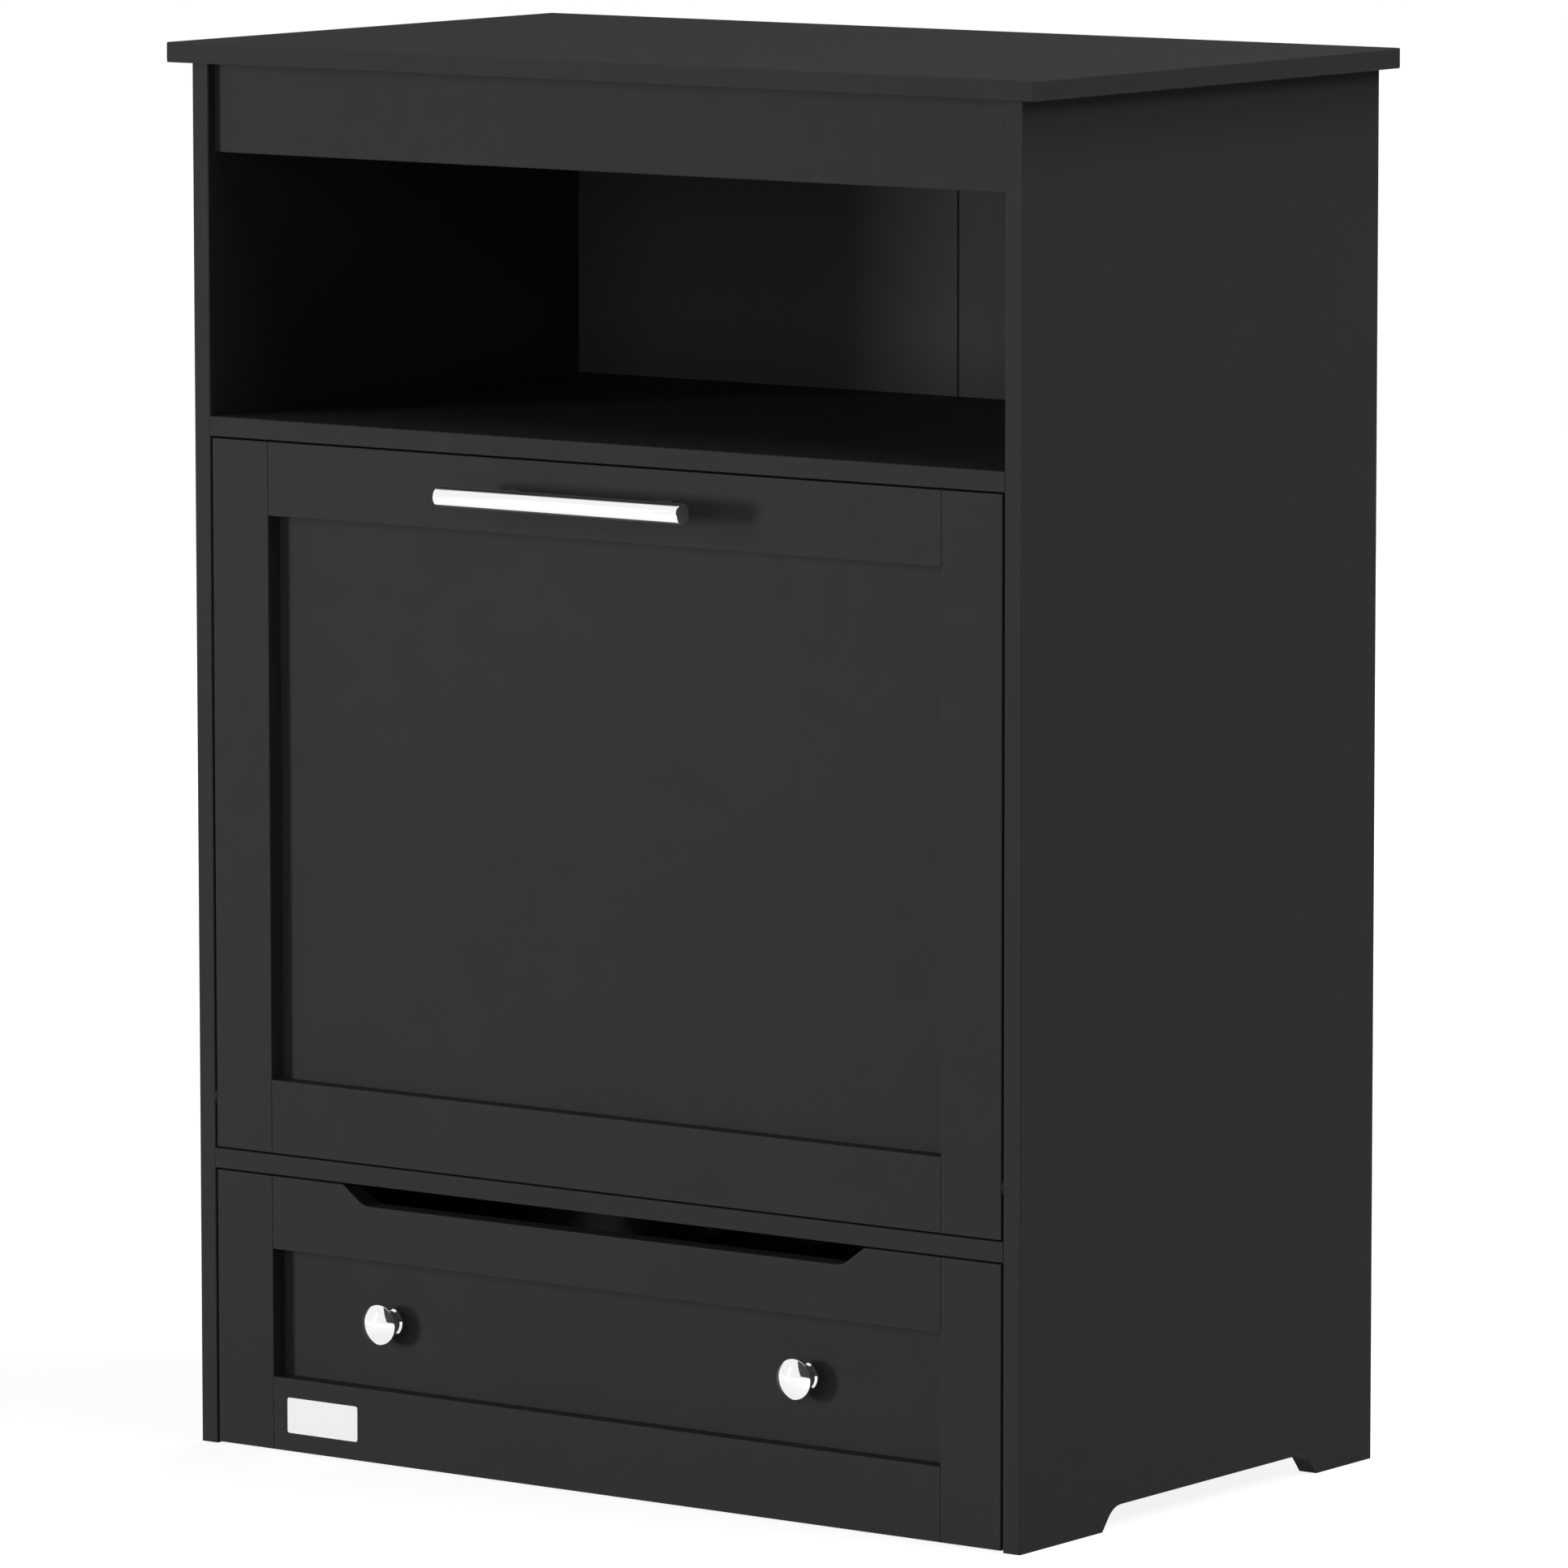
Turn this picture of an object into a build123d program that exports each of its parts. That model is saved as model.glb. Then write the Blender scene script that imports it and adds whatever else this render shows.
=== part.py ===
from build123d import *
from math import atan2, cos, radians, sin, sqrt
import os

os.makedirs("parts", exist_ok=True)

# Pet feeder cabinet in millimetres: X to the right, Y to the back, Z up.
# The origin is on the floor, under the middle of the whole cabinet with its handle.

# Boards and sheets
board = 12.0
back_sheet = 3.0
bottom_sheet = 3.0
edge_break = 0.6

# Carcass
carcass_width = 600.0
carcass_depth = 365.0
side_height = 829.0
top_side_overhang = 13.0
top_front_overhang = 8.0
top_rear_overhang = 3.0
apron_height = 53.0
apron_setback = 6.5
back_rebate = 6.0
back_seam = 1.5
rear_rail_height = 60.0
rear_rail_clearance = 4.0

# Feet, left by a shallow cut-out in the lower edge of each side
foot_front_length = 83.0
foot_rear_length = 58.5
foot_height = 13.7
foot_slant_run = 11.3
foot_corner_radius = 16.0

# Inset fronts: frames of stiles and rails round a thinner panel let in from behind
floor_gap = 1.0
reveal = 1.0
side_gap = 1.5
drawer_front_height = 165.5
bin_front_height = 426.0
frame_thickness = 15.0
stile_width = 42.0
rail_height = 44.0
panel_recess = 11.0
panel_lap = 8.0
panel_play = 0.5
frame_edge_chamfer = 0.4
tenon_length = 8.0
tenon_thickness = 5.0
tenon_shoulder = 4.0
tenon_play = 0.1

# Finger slot in the top edge of the drawer front
slot_width = 381.5
slot_depth = 11.6
slot_slant_run = 15.5
slot_corner_radius = 14.0
slot_overrun = 1.0

# Bar handle
bar_diameter = 12.5
bar_length = 177.0
bar_standoff = 32.0
bar_drop = 20.8
bar_offset = -2.7
bar_end_chamfer = 0.6
post_diameter = 8.0
post_spacing = 110.7

# Knobs
knob_spacing = 304.6
knob_offset = -10.4
knob_rise = 1.35
knob_base_radius = 8.5
knob_base_thickness = 2.2
knob_base_bevel = 1.1
knob_neck_radius = 5.2
knob_neck_reach = 8.6
knob_head_radius = 12.15
knob_head_slope = 1.9
knob_head_rounding = 2.6
knob_shoulder_radius = 4.2
knob_widest_at = 13.5
knob_length = 20.0

# Machine screws that hold the handle and the knobs from behind
screw_diameter = 4.0
screw_bite = 8.0
screw_head_diameter = 8.0
screw_head_height = 2.2

# Cam fittings of the board joints
cam_diameter = 12.0
cam_sides = 12
cam_depth = 9.5
cam_setback = 24.0
bolt_diameter = 5.0
bolt_sides = 8
bolt_depth = 9.0
cam_edge_distance = 50.0
bin_low_bolt_rise = 66.0
bin_high_bolt_drop = 88.0
drawer_low_bolt_rise = 30.0
drawer_high_bolt_drop = 18.0
fit = 0.05

# Tilting of the bin front on its hidden pivots
tilt_limit = 35.0
pivot_setback = 6.5
pivot_height = 30.0
pin_diameter = 5.0
pin_in_stile = 25.0
pin_end_gap = 0.8
bush_diameter = 9.0
bush_length = 8.8
bush_flange_diameter = 13.0
bush_flange_gap = 0.4
running_fit = 0.05

# Stop rail, magnetic catch and pads behind the top of the bin front
stop_rail_gap = 4.0
stop_rail_height = 30.0
stop_clearance = 0.5
catch_width = 46.0
catch_height = 12.0
magnet_width = 15.0
magnet_height = 6.0
magnet_spacing = 23.0
magnet_proud = 1.2
strike_width = 40.0
strike_thickness = 1.2
pad_diameter = 10.0
pad_inset = 58.0
seat_gap = 0.3

# Food bin behind the front
bin_side_gap = 6.0
bin_floor_clearance = 4.5
bin_arc_clearance = 4.0

# Drawer box and bowl board
drawer_back_clearance = 35.0
drawer_box_bottom = 20.0
bowl_board_drop = 38.5
bottom_groove_height = 8.0
bottom_groove_depth = 6.0
bottom_play = 0.3

# Feeding bowls
bowl_gap = 50.0
bowl_front_gap = 10.0
bowl_rim_diameter = 200.0
bowl_rim_width = 8.5
bowl_taper = 16.5
bowl_depth = 56.0
bowl_wall = 1.0
bowl_base_radius = 12.0
bowl_rim_drop = 3.0
bowl_hole_play = 1.5

# Roller runners
runner_space = 12.5
runner_sheet = 1.2
runner_setback = 3.0
channel_lip_gap = 1.3
rider_lip_gap = 2.8
rider_top_gap = 2.0
rider_foot = 12.0
roller_diameter = 20.0
roller_width = 7.0
roller_side_play = 0.5
roller_seat_gap = 0.3
roller_chamfer = 0.6
axle_diameter = 5.0
axle_head_diameter = 8.0
axle_head_thickness = 0.8
front_roller_setback = 30.0
rear_roller_setback = 22.0
roller_stop_gap = 3.0

# Depths: the front of the carcass stands where the handle and the top's rear edge balance
handle_reach = bar_standoff + bar_diameter / 2
front_y = -(carcass_depth + top_rear_overhang - handle_reach) / 2
rear_y = front_y + carcass_depth
back_y = rear_y - back_sheet
fronts_back_y = front_y + frame_thickness
box_back_y = back_y - board - drawer_back_clearance
drawer_box_depth = box_back_y - fronts_back_y

# Widths
half_width = carcass_width / 2
inner_half = half_width - board
front_half = inner_half - side_gap
opening_half = front_half - stile_width
drawer_half = inner_half - runner_space
channel_width = runner_space - runner_sheet - channel_lip_gap
rider_width = runner_space - runner_sheet - rider_lip_gap
bin_half = inner_half - bin_side_gap

# Heights
drawer_front_top = floor_gap + drawer_front_height
divider_z = drawer_front_top + reveal
bin_front_z = divider_z + board + reveal
bin_front_top = bin_front_z + bin_front_height
shelf_z = bin_front_top + reveal
bowl_board_top = drawer_front_top - bowl_board_drop
bowl_board_z = bowl_board_top - board

# Pivot of the bin front, and the point halfway up the back of the stop rail as the pivot sees it
pivot_y = front_y + pivot_setback
pivot_z = bin_front_z + pivot_height
stop_rail_y = fronts_back_y + stop_rail_gap
stop_rail_z = shelf_z - stop_rail_height
stop_back = stop_rail_y + board + stop_clearance - pivot_y
stop_up = stop_rail_z + stop_rail_height / 2 - pivot_z
tilt = radians(tilt_limit)

# The upper front edge of the bin's rear board comes to that point at the end of the tilt
bin_rear_y = pivot_y + stop_back * cos(tilt) + stop_up * sin(tilt)
bin_rear_top = pivot_z + stop_up * cos(tilt) - stop_back * sin(tilt)
bin_bottom_z = divider_z + board + bin_floor_clearance
bin_arc_radius = stop_rail_z - pivot_z - bin_arc_clearance
bin_rear_reach = bin_rear_y + board - pivot_y

# Runner and roller places
channel_z = drawer_box_bottom
channel_lip = runner_sheet + rider_top_gap + runner_sheet
roller_radius = roller_diameter / 2
rear_roller_z = channel_z + runner_sheet + roller_seat_gap + roller_radius
rider_z = rear_roller_z + roller_radius + roller_side_play
front_roller_z = rider_z - roller_seat_gap - roller_radius
channel_front_y = fronts_back_y + runner_setback
front_roller_y = front_y + front_roller_setback
rear_roller_y = box_back_y - rear_roller_setback
drawer_travel = rear_roller_y - front_roller_y - roller_diameter - roller_stop_gap
channel_height = rider_z - channel_z + channel_lip

LEFT, RIGHT = -1, 1
SIDES = {"left": LEFT, "right": RIGHT}
LOW = (Align.CENTER, Align.MIN)


def facing(y):
    """Upright plane across the cabinet at depth y, with X to the right and Z up."""
    return Plane.XZ.offset(-y)


def beside(x):
    """Upright plane along the cabinet's depth at x, with Y to the back and Z up."""
    return Plane.YZ.offset(x)


def level(z):
    """Level plane at height z."""
    return Plane.XY.offset(z)


def save(part, name):
    """Labels a finished piece and writes it to its own file."""
    part.label = name
    export_step(part, f"parts/{name}.step")


# Cam joints: each plane stands where a bolt crosses from one board into the end of another.
# Its Z runs into the board that holds the cam and its X points to that board's cam face.
cam_ys = (front_y + cam_edge_distance, back_y - cam_edge_distance)


def end_joints(y_places, z, cam_face, x=inner_half):
    """Joints at both ends of a board that runs across between two upright boards."""
    return [
        Plane(origin=(hand * x, y, z), x_dir=cam_face, z_dir=(-hand, 0, 0))
        for hand in SIDES.values()
        for y in y_places
    ]


DOWN, BACKWARD = (0, 0, -1), (0, 1, 0)
apron_mid_y = front_y + apron_setback + board / 2
apron_mid_z = side_height - apron_height / 2
shelf_joints = end_joints(cam_ys, shelf_z + board / 2, DOWN)
divider_joints = end_joints(cam_ys, divider_z + board / 2, DOWN)
apron_joints = end_joints((apron_mid_y,), apron_mid_z, BACKWARD)


def top_joints(hand):
    """Joints between the top and the upper edge of one side."""
    x = hand * (inner_half + board / 2)
    return [Plane(origin=(x, y, side_height), x_dir=(-hand, 0, 0), z_dir=DOWN) for y in cam_ys]


def front_joints(hand, x_mid, heights, cam_way):
    """Joints between the back of a front's stile and the front edge of a box side."""
    return [
        Plane(origin=(hand * x_mid, fronts_back_y, z), x_dir=(cam_way * hand, 0, 0), z_dir=BACKWARD)
        for z in heights
    ]


bin_joint_heights = (bin_front_z + bin_low_bolt_rise, bin_front_top - bin_high_bolt_drop)
drawer_joint_heights = (drawer_box_bottom + drawer_low_bolt_rise, bowl_board_z - drawer_high_bolt_drop)


def cam_plane(joint):
    """Plane on the cam face of the board, centred on the cam, with its Z into the board."""
    centre = joint.from_local_coords((board / 2, 0, cam_setback))
    return Plane(origin=centre, x_dir=joint.z_dir, z_dir=-joint.x_dir)


def cam_bodies(joints, grow=0.0):
    """Adds or cuts the twelve-sided body of each cam in the part being built."""
    mode = Mode.SUBTRACT if grow else Mode.ADD
    with BuildSketch(*(cam_plane(joint) for joint in joints)) as sections:
        RegularPolygon(cam_diameter / 2 + grow, cam_sides)
    extrude(sections.sketch, amount=cam_depth, mode=mode)


def bolt_shanks(joints, start, end, grow=0.0):
    """Adds or cuts an eight-sided shank along the axis of each joint, between two depths."""
    mode = Mode.SUBTRACT if grow else Mode.ADD
    with BuildSketch(*(joint.offset(start) for joint in joints)) as sections:
        RegularPolygon(bolt_diameter / 2 + grow, bolt_sides)
    extrude(sections.sketch, amount=end - start, mode=mode)


def seat_cams(joints):
    """Cuts the seats of cams and bolts in the board that holds the cams."""
    cam_bodies(joints, grow=fit)
    bolt_shanks(joints, 0, cam_setback, grow=2 * fit)


def seat_bolt_ends(joints):
    """Cuts the blind holes that the bolts are screwed into."""
    bolt_shanks(joints, -bolt_depth, 0, grow=2 * fit)


def save_cams(joints, owner):
    """Makes the cams, each slotted for its bolt, and the bolts of a group of joints."""
    slot_size = bolt_diameter + 2 * fit
    with BuildPart() as cams:
        cam_bodies(joints)
        with Locations(*joints):
            with Locations((0, 0, cam_setback)):
                inward = (Align.CENTER, Align.CENTER, Align.MAX)
                Box(slot_size, slot_size, cam_diameter, align=inward, mode=Mode.SUBTRACT)
    save(cams.part, f"{owner}_cams")

    with BuildPart() as bolts:
        bolt_shanks(joints, fit - bolt_depth, cam_setback - bolt_diameter / 2)
    save(bolts.part, f"{owner}_bolts")


# Top board
with BuildPart() as top_panel:
    with BuildSketch(level(side_height)):
        with Locations((0, front_y - top_front_overhang)):
            top_depth = top_front_overhang + carcass_depth + top_rear_overhang
            Rectangle(carcass_width + 2 * top_side_overhang, top_depth, align=LOW)
    extrude(amount=board)
    chamfer(top_panel.edges(), edge_break)
    seat_bolt_ends(top_joints(LEFT) + top_joints(RIGHT))
save(top_panel.part, "top_panel")


def side_board(hand):
    """One side, with its feet, the rebate for the back and the bores of what it carries."""
    with BuildPart() as side:
        with BuildSketch(beside(hand * inner_half)) as outline:
            with BuildLine():
                foot_front = front_y + foot_front_length
                foot_rear = rear_y - foot_rear_length
                Polyline(
                    (front_y, 0),
                    (foot_front, 0),
                    (foot_front + foot_slant_run, foot_height),
                    (foot_rear - foot_slant_run, foot_height),
                    (foot_rear, 0),
                    (rear_y, 0),
                    (rear_y, side_height),
                    (front_y, side_height),
                    close=True,
                )
            make_face()
            fillet(outline.vertices().group_by(Axis.Y)[1], foot_corner_radius)
        extrude(amount=hand * board)
        chamfer(side.faces().sort_by(Axis.Y)[0].edges().filter_by(Axis.Z), edge_break)
        with BuildSketch(level(0)):
            with Locations((hand * (inner_half + back_rebate / 2), back_y)):
                Rectangle(back_rebate, back_sheet, align=LOW)
        extrude(amount=side_height, mode=Mode.SUBTRACT)
        with BuildSketch(beside(hand * inner_half)):
            with Locations((pivot_y, pivot_z)):
                Circle(bush_diameter / 2 + fit)
        extrude(amount=hand * (bush_length + fit), mode=Mode.SUBTRACT)
        seat_cams(top_joints(hand))
        for joints in (shelf_joints, divider_joints, apron_joints):
            seat_bolt_ends([plane for plane in joints if plane.origin.X * hand > 0])
    return side.part


for side_name, hand in SIDES.items():
    save(side_board(hand), f"{side_name}_side_panel")

# Front apron under the top
with BuildPart() as front_apron:
    with BuildSketch(facing(front_y + apron_setback)):
        with Locations((0, side_height - apron_height)):
            Rectangle(2 * inner_half, apron_height, align=LOW)
    extrude(amount=-board)
    lower_front = front_apron.faces().sort_by(Axis.Z)[0].edges().filter_by(Axis.X)
    chamfer(lower_front.sort_by(Axis.Y)[0], edge_break)
    seat_cams(apron_joints)
save(front_apron.part, "front_apron")


def cross_board(z, joints):
    """A level board between the sides, flush with their front edges."""
    with BuildPart() as shelf:
        with BuildSketch(level(z)):
            with Locations((0, front_y)):
                Rectangle(2 * inner_half, carcass_depth - back_sheet, align=LOW)
        extrude(amount=board)
        chamfer(shelf.faces().sort_by(Axis.Y)[0].edges().filter_by(Axis.X), edge_break)
        seat_cams(joints)
    return shelf.part


save(cross_board(shelf_z, shelf_joints), "upper_shelf")
save(cross_board(divider_z, divider_joints), "lower_divider")

# Back, in two sheets that meet in a seam at the middle
back_bottom = foot_height + rear_rail_clearance
for side_name, hand in SIDES.items():
    with BuildPart() as back_panel:
        with BuildSketch(facing(rear_y)):
            back_width = inner_half + back_rebate - fit - back_seam / 2
            with Locations((hand * (back_seam / 2 + back_width / 2), back_bottom)):
                Rectangle(back_width, side_height - back_bottom, align=LOW)
        extrude(amount=back_sheet)
    save(back_panel.part, f"back_panel_{side_name}")

# Rear rail behind the drawer
with BuildPart() as rear_rail:
    with BuildSketch(facing(back_y)):
        with Locations((0, back_bottom)):
            Rectangle(2 * inner_half, rear_rail_height, align=LOW)
    extrude(amount=board)
save(rear_rail.part, "rear_rail")

# Stop rail under the shelf, behind the top of the bin front
with BuildPart() as stop_rail:
    with BuildSketch(facing(stop_rail_y)):
        with Locations((0, stop_rail_z)):
            Rectangle(2 * inner_half, stop_rail_height, align=LOW)
    extrude(amount=-board)
save(stop_rail.part, "stop_rail")

# Magnetic catch under the stop rail, with two magnet faces proud of its case
catch_front_y = fronts_back_y + strike_thickness + seat_gap
case_front_y = catch_front_y + magnet_proud
with BuildPart() as catch:
    with BuildSketch(facing(case_front_y)):
        with Locations((0, stop_rail_z - catch_height)):
            Rectangle(catch_width, catch_height, align=LOW)
    extrude(amount=case_front_y - stop_rail_y - board)
    with BuildSketch(facing(case_front_y)):
        with Locations((0, stop_rail_z - catch_height / 2)):
            with GridLocations(magnet_spacing, 0, 2, 1):
                Rectangle(magnet_width, magnet_height)
    extrude(amount=magnet_proud)
save(catch.part, "magnetic_catch")

# Pads that the closed bin front rests against
with BuildPart() as pads:
    with BuildSketch(facing(stop_rail_y)):
        with Locations((0, stop_rail_z + stop_rail_height / 2)):
            with GridLocations(2 * (inner_half - pad_inset), 0, 2, 1):
                Circle(pad_diameter / 2)
    extrude(amount=stop_rail_gap - seat_gap)
save(pads.part, "bumper_pads")

# Flanged bushes that the pivot pins turn in
with BuildPart() as bushes:
    for hand in SIDES.values():
        with BuildSketch(beside(hand * inner_half)):
            with Locations((pivot_y, pivot_z)):
                Circle(bush_diameter / 2)
        extrude(amount=hand * bush_length)
        with BuildSketch(beside(hand * inner_half)):
            with Locations((pivot_y, pivot_z)):
                Circle(bush_flange_diameter / 2)
        extrude(amount=-hand * (side_gap - bush_flange_gap))
        with BuildSketch(beside(hand * front_half)):
            with Locations((pivot_y, pivot_z)):
                Circle(pin_diameter / 2 + running_fit)
        extrude(amount=hand * (side_gap + bush_length), mode=Mode.SUBTRACT)
save(bushes.part, "pivot_bushes")


class Front:
    """An inset front: its heights, and the pieces of its frame made from them."""

    def __init__(self, bottom, height):
        self.bottom = bottom
        self.top = bottom + height
        self.opening_bottom = self.bottom + rail_height
        self.opening_top = self.top - rail_height

    def rail_box(self, upper):
        """Lower edge of a rail, and the lower edge of its tenon."""
        low = self.opening_top if upper else self.bottom
        tenon_low = low + (panel_lap + tenon_shoulder if upper else tenon_shoulder)
        return low, tenon_low

    def tenon_height(self):
        """Height of a tenon between its shoulder and the lap of the panel."""
        return rail_height - panel_lap - 2 * tenon_shoulder

    def tenon_front(self):
        """Depth of the front face of every tenon."""
        return front_y + (panel_recess - tenon_thickness) / 2

    def stile(self, hand, joints):
        """One upright, rebated for the panel and mortised for both rails."""
        play = tenon_play
        with BuildPart() as upright:
            with BuildSketch(facing(front_y)):
                with Locations((hand * (opening_half + stile_width / 2), self.bottom)):
                    Rectangle(stile_width, self.top - self.bottom, align=LOW)
            extrude(amount=-frame_thickness)
            chamfer(upright.faces().sort_by(Axis.Y)[0].edges(), frame_edge_chamfer)
            with BuildSketch(facing(fronts_back_y)):
                with Locations((hand * (opening_half + panel_lap / 2), (self.top + self.bottom) / 2)):
                    Rectangle(panel_lap, self.opening_top - self.opening_bottom + 2 * panel_lap)
            extrude(amount=frame_thickness - panel_recess, mode=Mode.SUBTRACT)
            with BuildSketch(facing(self.tenon_front() - play)):
                for upper in (False, True):
                    tenon_low = self.rail_box(upper)[1]
                    mortise_x = hand * (opening_half + (tenon_length + play) / 2)
                    with Locations((mortise_x, tenon_low - play)):
                        mortise_height = self.tenon_height() + 2 * play
                        Rectangle(tenon_length + play, mortise_height, align=LOW)
            extrude(amount=-(tenon_thickness + 2 * play), mode=Mode.SUBTRACT)
            seat_bolt_ends(joints)
        return upright.part

    def rail(self, upper):
        """One rail with its tenons, rebated for the panel."""
        low, tenon_low = self.rail_box(upper)
        with BuildPart() as cross:
            with BuildSketch(facing(front_y)):
                with Locations((0, low)):
                    Rectangle(2 * opening_half, rail_height, align=LOW)
            extrude(amount=-frame_thickness)
            chamfer(cross.faces().sort_by(Axis.Y)[0].edges(), frame_edge_chamfer)
            with BuildSketch(facing(self.tenon_front())):
                with Locations((0, tenon_low)):
                    Rectangle(2 * (opening_half + tenon_length), self.tenon_height(), align=LOW)
            extrude(amount=-tenon_thickness)
            with BuildSketch(facing(fronts_back_y)):
                lap_low = self.opening_top if upper else self.opening_bottom - panel_lap
                with Locations((0, lap_low)):
                    Rectangle(2 * opening_half, panel_lap, align=LOW)
            extrude(amount=frame_thickness - panel_recess, mode=Mode.SUBTRACT)
        return cross.part

    def panel(self):
        """The thinner panel, flush with the back of the frame."""
        with BuildPart() as sheet:
            with BuildSketch(facing(front_y + panel_recess)):
                with Locations((0, (self.bottom + self.top) / 2)):
                    grow = 2 * (panel_lap - panel_play)
                    Rectangle(2 * opening_half + grow, self.opening_top - self.opening_bottom + grow)
            extrude(amount=panel_recess - frame_thickness)
        return sheet.part


# Frame and panel of the bin front
bin_front = Front(bin_front_z, bin_front_height)
bar_z = bin_front_top - bar_drop
bin_side_mid = bin_half - board / 2
bin_joints = {hand: front_joints(hand, bin_side_mid, bin_joint_heights, 1) for hand in SIDES.values()}

for side_name, hand in SIDES.items():
    with BuildPart() as pivot_stile:
        add(bin_front.stile(hand, bin_joints[hand]))
        with BuildSketch(beside(hand * front_half)):
            with Locations((pivot_y, pivot_z)):
                Circle(pin_diameter / 2 + fit)
        extrude(amount=-hand * (pin_in_stile + fit), mode=Mode.SUBTRACT)
    save(pivot_stile.part, f"bin_front_{side_name}_stile")

with BuildPart() as bin_top_rail:
    add(bin_front.rail(upper=True))
    with BuildSketch(facing(fronts_back_y)):
        with Locations((bar_offset, bar_z)):
            with GridLocations(post_spacing, 0, 2, 1):
                Circle(screw_diameter / 2 + fit)
    extrude(amount=frame_thickness, mode=Mode.SUBTRACT)
save(bin_top_rail.part, "bin_front_top_rail")
save(bin_front.rail(upper=False), "bin_front_bottom_rail")
save(bin_front.panel(), "bin_front_panel")

# Pivot pins, fast in the stiles
with BuildPart() as pins:
    for hand in SIDES.values():
        with BuildSketch(beside(hand * (front_half - pin_in_stile))):
            with Locations((pivot_y, pivot_z)):
                Circle(pin_diameter / 2)
        extrude(amount=hand * (pin_in_stile + side_gap + bush_length - pin_end_gap))
save(pins.part, "pivot_pins")

# Strike plate of the catch, on the back of the top rail
with BuildPart() as strike:
    with BuildSketch(facing(fronts_back_y)):
        with Locations((0, stop_rail_z - catch_height / 2)):
            RectangleRounded(strike_width, catch_height, strike_thickness)
    extrude(amount=-strike_thickness)
save(strike.part, "catch_strike")

# Bar of the handle
bar_y = front_y - bar_standoff
bar_places = [(bar_offset - post_spacing / 2, bar_z), (bar_offset + post_spacing / 2, bar_z)]
with BuildPart() as bar:
    with BuildSketch(beside(bar_offset - bar_length / 2)):
        with Locations((bar_y, bar_z)):
            Circle(bar_diameter / 2)
    extrude(amount=bar_length)
    chamfer(bar.edges().filter_by(GeomType.CIRCLE), bar_end_chamfer)
save(bar.part, "handle_bar")

# Posts of the handle, saddled to the back of the bar and tapped for the screws
with BuildPart() as posts:
    with BuildSketch(facing(front_y)):
        with Locations(*bar_places):
            Circle(post_diameter / 2)
    extrude(amount=bar_standoff)
    with BuildSketch(beside(bar_offset - bar_length / 2)):
        with Locations((bar_y, bar_z)):
            Circle(bar_diameter / 2 + fit)
    extrude(amount=bar_length, mode=Mode.SUBTRACT)
    with BuildSketch(facing(front_y)):
        with Locations(*bar_places):
            Circle(screw_diameter / 2 + fit)
    extrude(amount=screw_bite + fit, mode=Mode.SUBTRACT)
save(posts.part, "handle_posts")


def back_screws(places, face_y, grip):
    """Pan-head screws driven forward through a front of the given grip."""
    with BuildPart() as screws:
        with BuildSketch(facing(face_y)):
            with Locations(*places):
                Circle(screw_diameter / 2)
        extrude(amount=grip + screw_bite)
        with BuildSketch(facing(face_y)):
            with Locations(*places):
                Circle(screw_head_diameter / 2)
        extrude(amount=-screw_head_height)
        outer = screws.faces().group_by(Axis.Y)[-1].edges()
        chamfer(outer, screw_head_height / 2)
    return screws.part


save(back_screws(bar_places, fronts_back_y, frame_thickness), "handle_screws")

# Sides of the food bin: their upper edge is an arc about the pivot, so it slips under the stop rail
bin_rear_back = bin_rear_y + board
arc_front_z = pivot_z + sqrt(bin_arc_radius**2 - (fronts_back_y - pivot_y) ** 2)
arc_rear_z = pivot_z + sqrt(bin_arc_radius**2 - bin_rear_reach**2)
arc_middle = radians(90) - atan2(bin_rear_reach, arc_rear_z - pivot_z) / 2
arc_mid_point = (pivot_y + bin_arc_radius * cos(arc_middle), pivot_z + bin_arc_radius * sin(arc_middle))
for side_name, hand in SIDES.items():
    with BuildPart() as bin_side:
        with BuildSketch(beside(hand * (bin_half - board))):
            with BuildLine():
                ThreePointArc((fronts_back_y, arc_front_z), arc_mid_point, (bin_rear_back, arc_rear_z))
                Polyline(
                    (bin_rear_back, arc_rear_z),
                    (bin_rear_back, bin_bottom_z),
                    (fronts_back_y, bin_bottom_z),
                    (fronts_back_y, arc_front_z),
                )
            make_face()
        extrude(amount=hand * board)
        seat_cams(bin_joints[hand])
    save(bin_side.part, f"bin_{side_name}_side")

# Rear board of the bin, tall enough to meet the stop rail
bin_inner_half = bin_half - board
with BuildPart() as bin_rear:
    with BuildSketch(facing(bin_rear_back)):
        with Locations((0, bin_bottom_z)):
            Rectangle(2 * bin_inner_half, bin_rear_top - bin_bottom_z, align=LOW)
    extrude(amount=board)
    chamfer(bin_rear.faces().sort_by(Axis.Z)[-1].edges().filter_by(Axis.X), edge_break)
save(bin_rear.part, "bin_rear_panel")

# Bottom of the bin
with BuildPart() as bin_bottom:
    with BuildSketch(level(bin_bottom_z)):
        with Locations((0, fronts_back_y)):
            Rectangle(2 * bin_inner_half, bin_rear_y - fronts_back_y, align=LOW)
    extrude(amount=board)
save(bin_bottom.part, "bin_bottom_panel")

# Frame and panel of the drawer front
drawer_front = Front(floor_gap, drawer_front_height)
drawer_side_mid = drawer_half - board / 2
drawer_joints = {
    hand: front_joints(hand, drawer_side_mid, drawer_joint_heights, -1) for hand in SIDES.values()
}
bottom_z = drawer_box_bottom + bottom_groove_height

for side_name, hand in SIDES.items():
    save(drawer_front.stile(hand, drawer_joints[hand]), f"drawer_front_{side_name}_stile")

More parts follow.
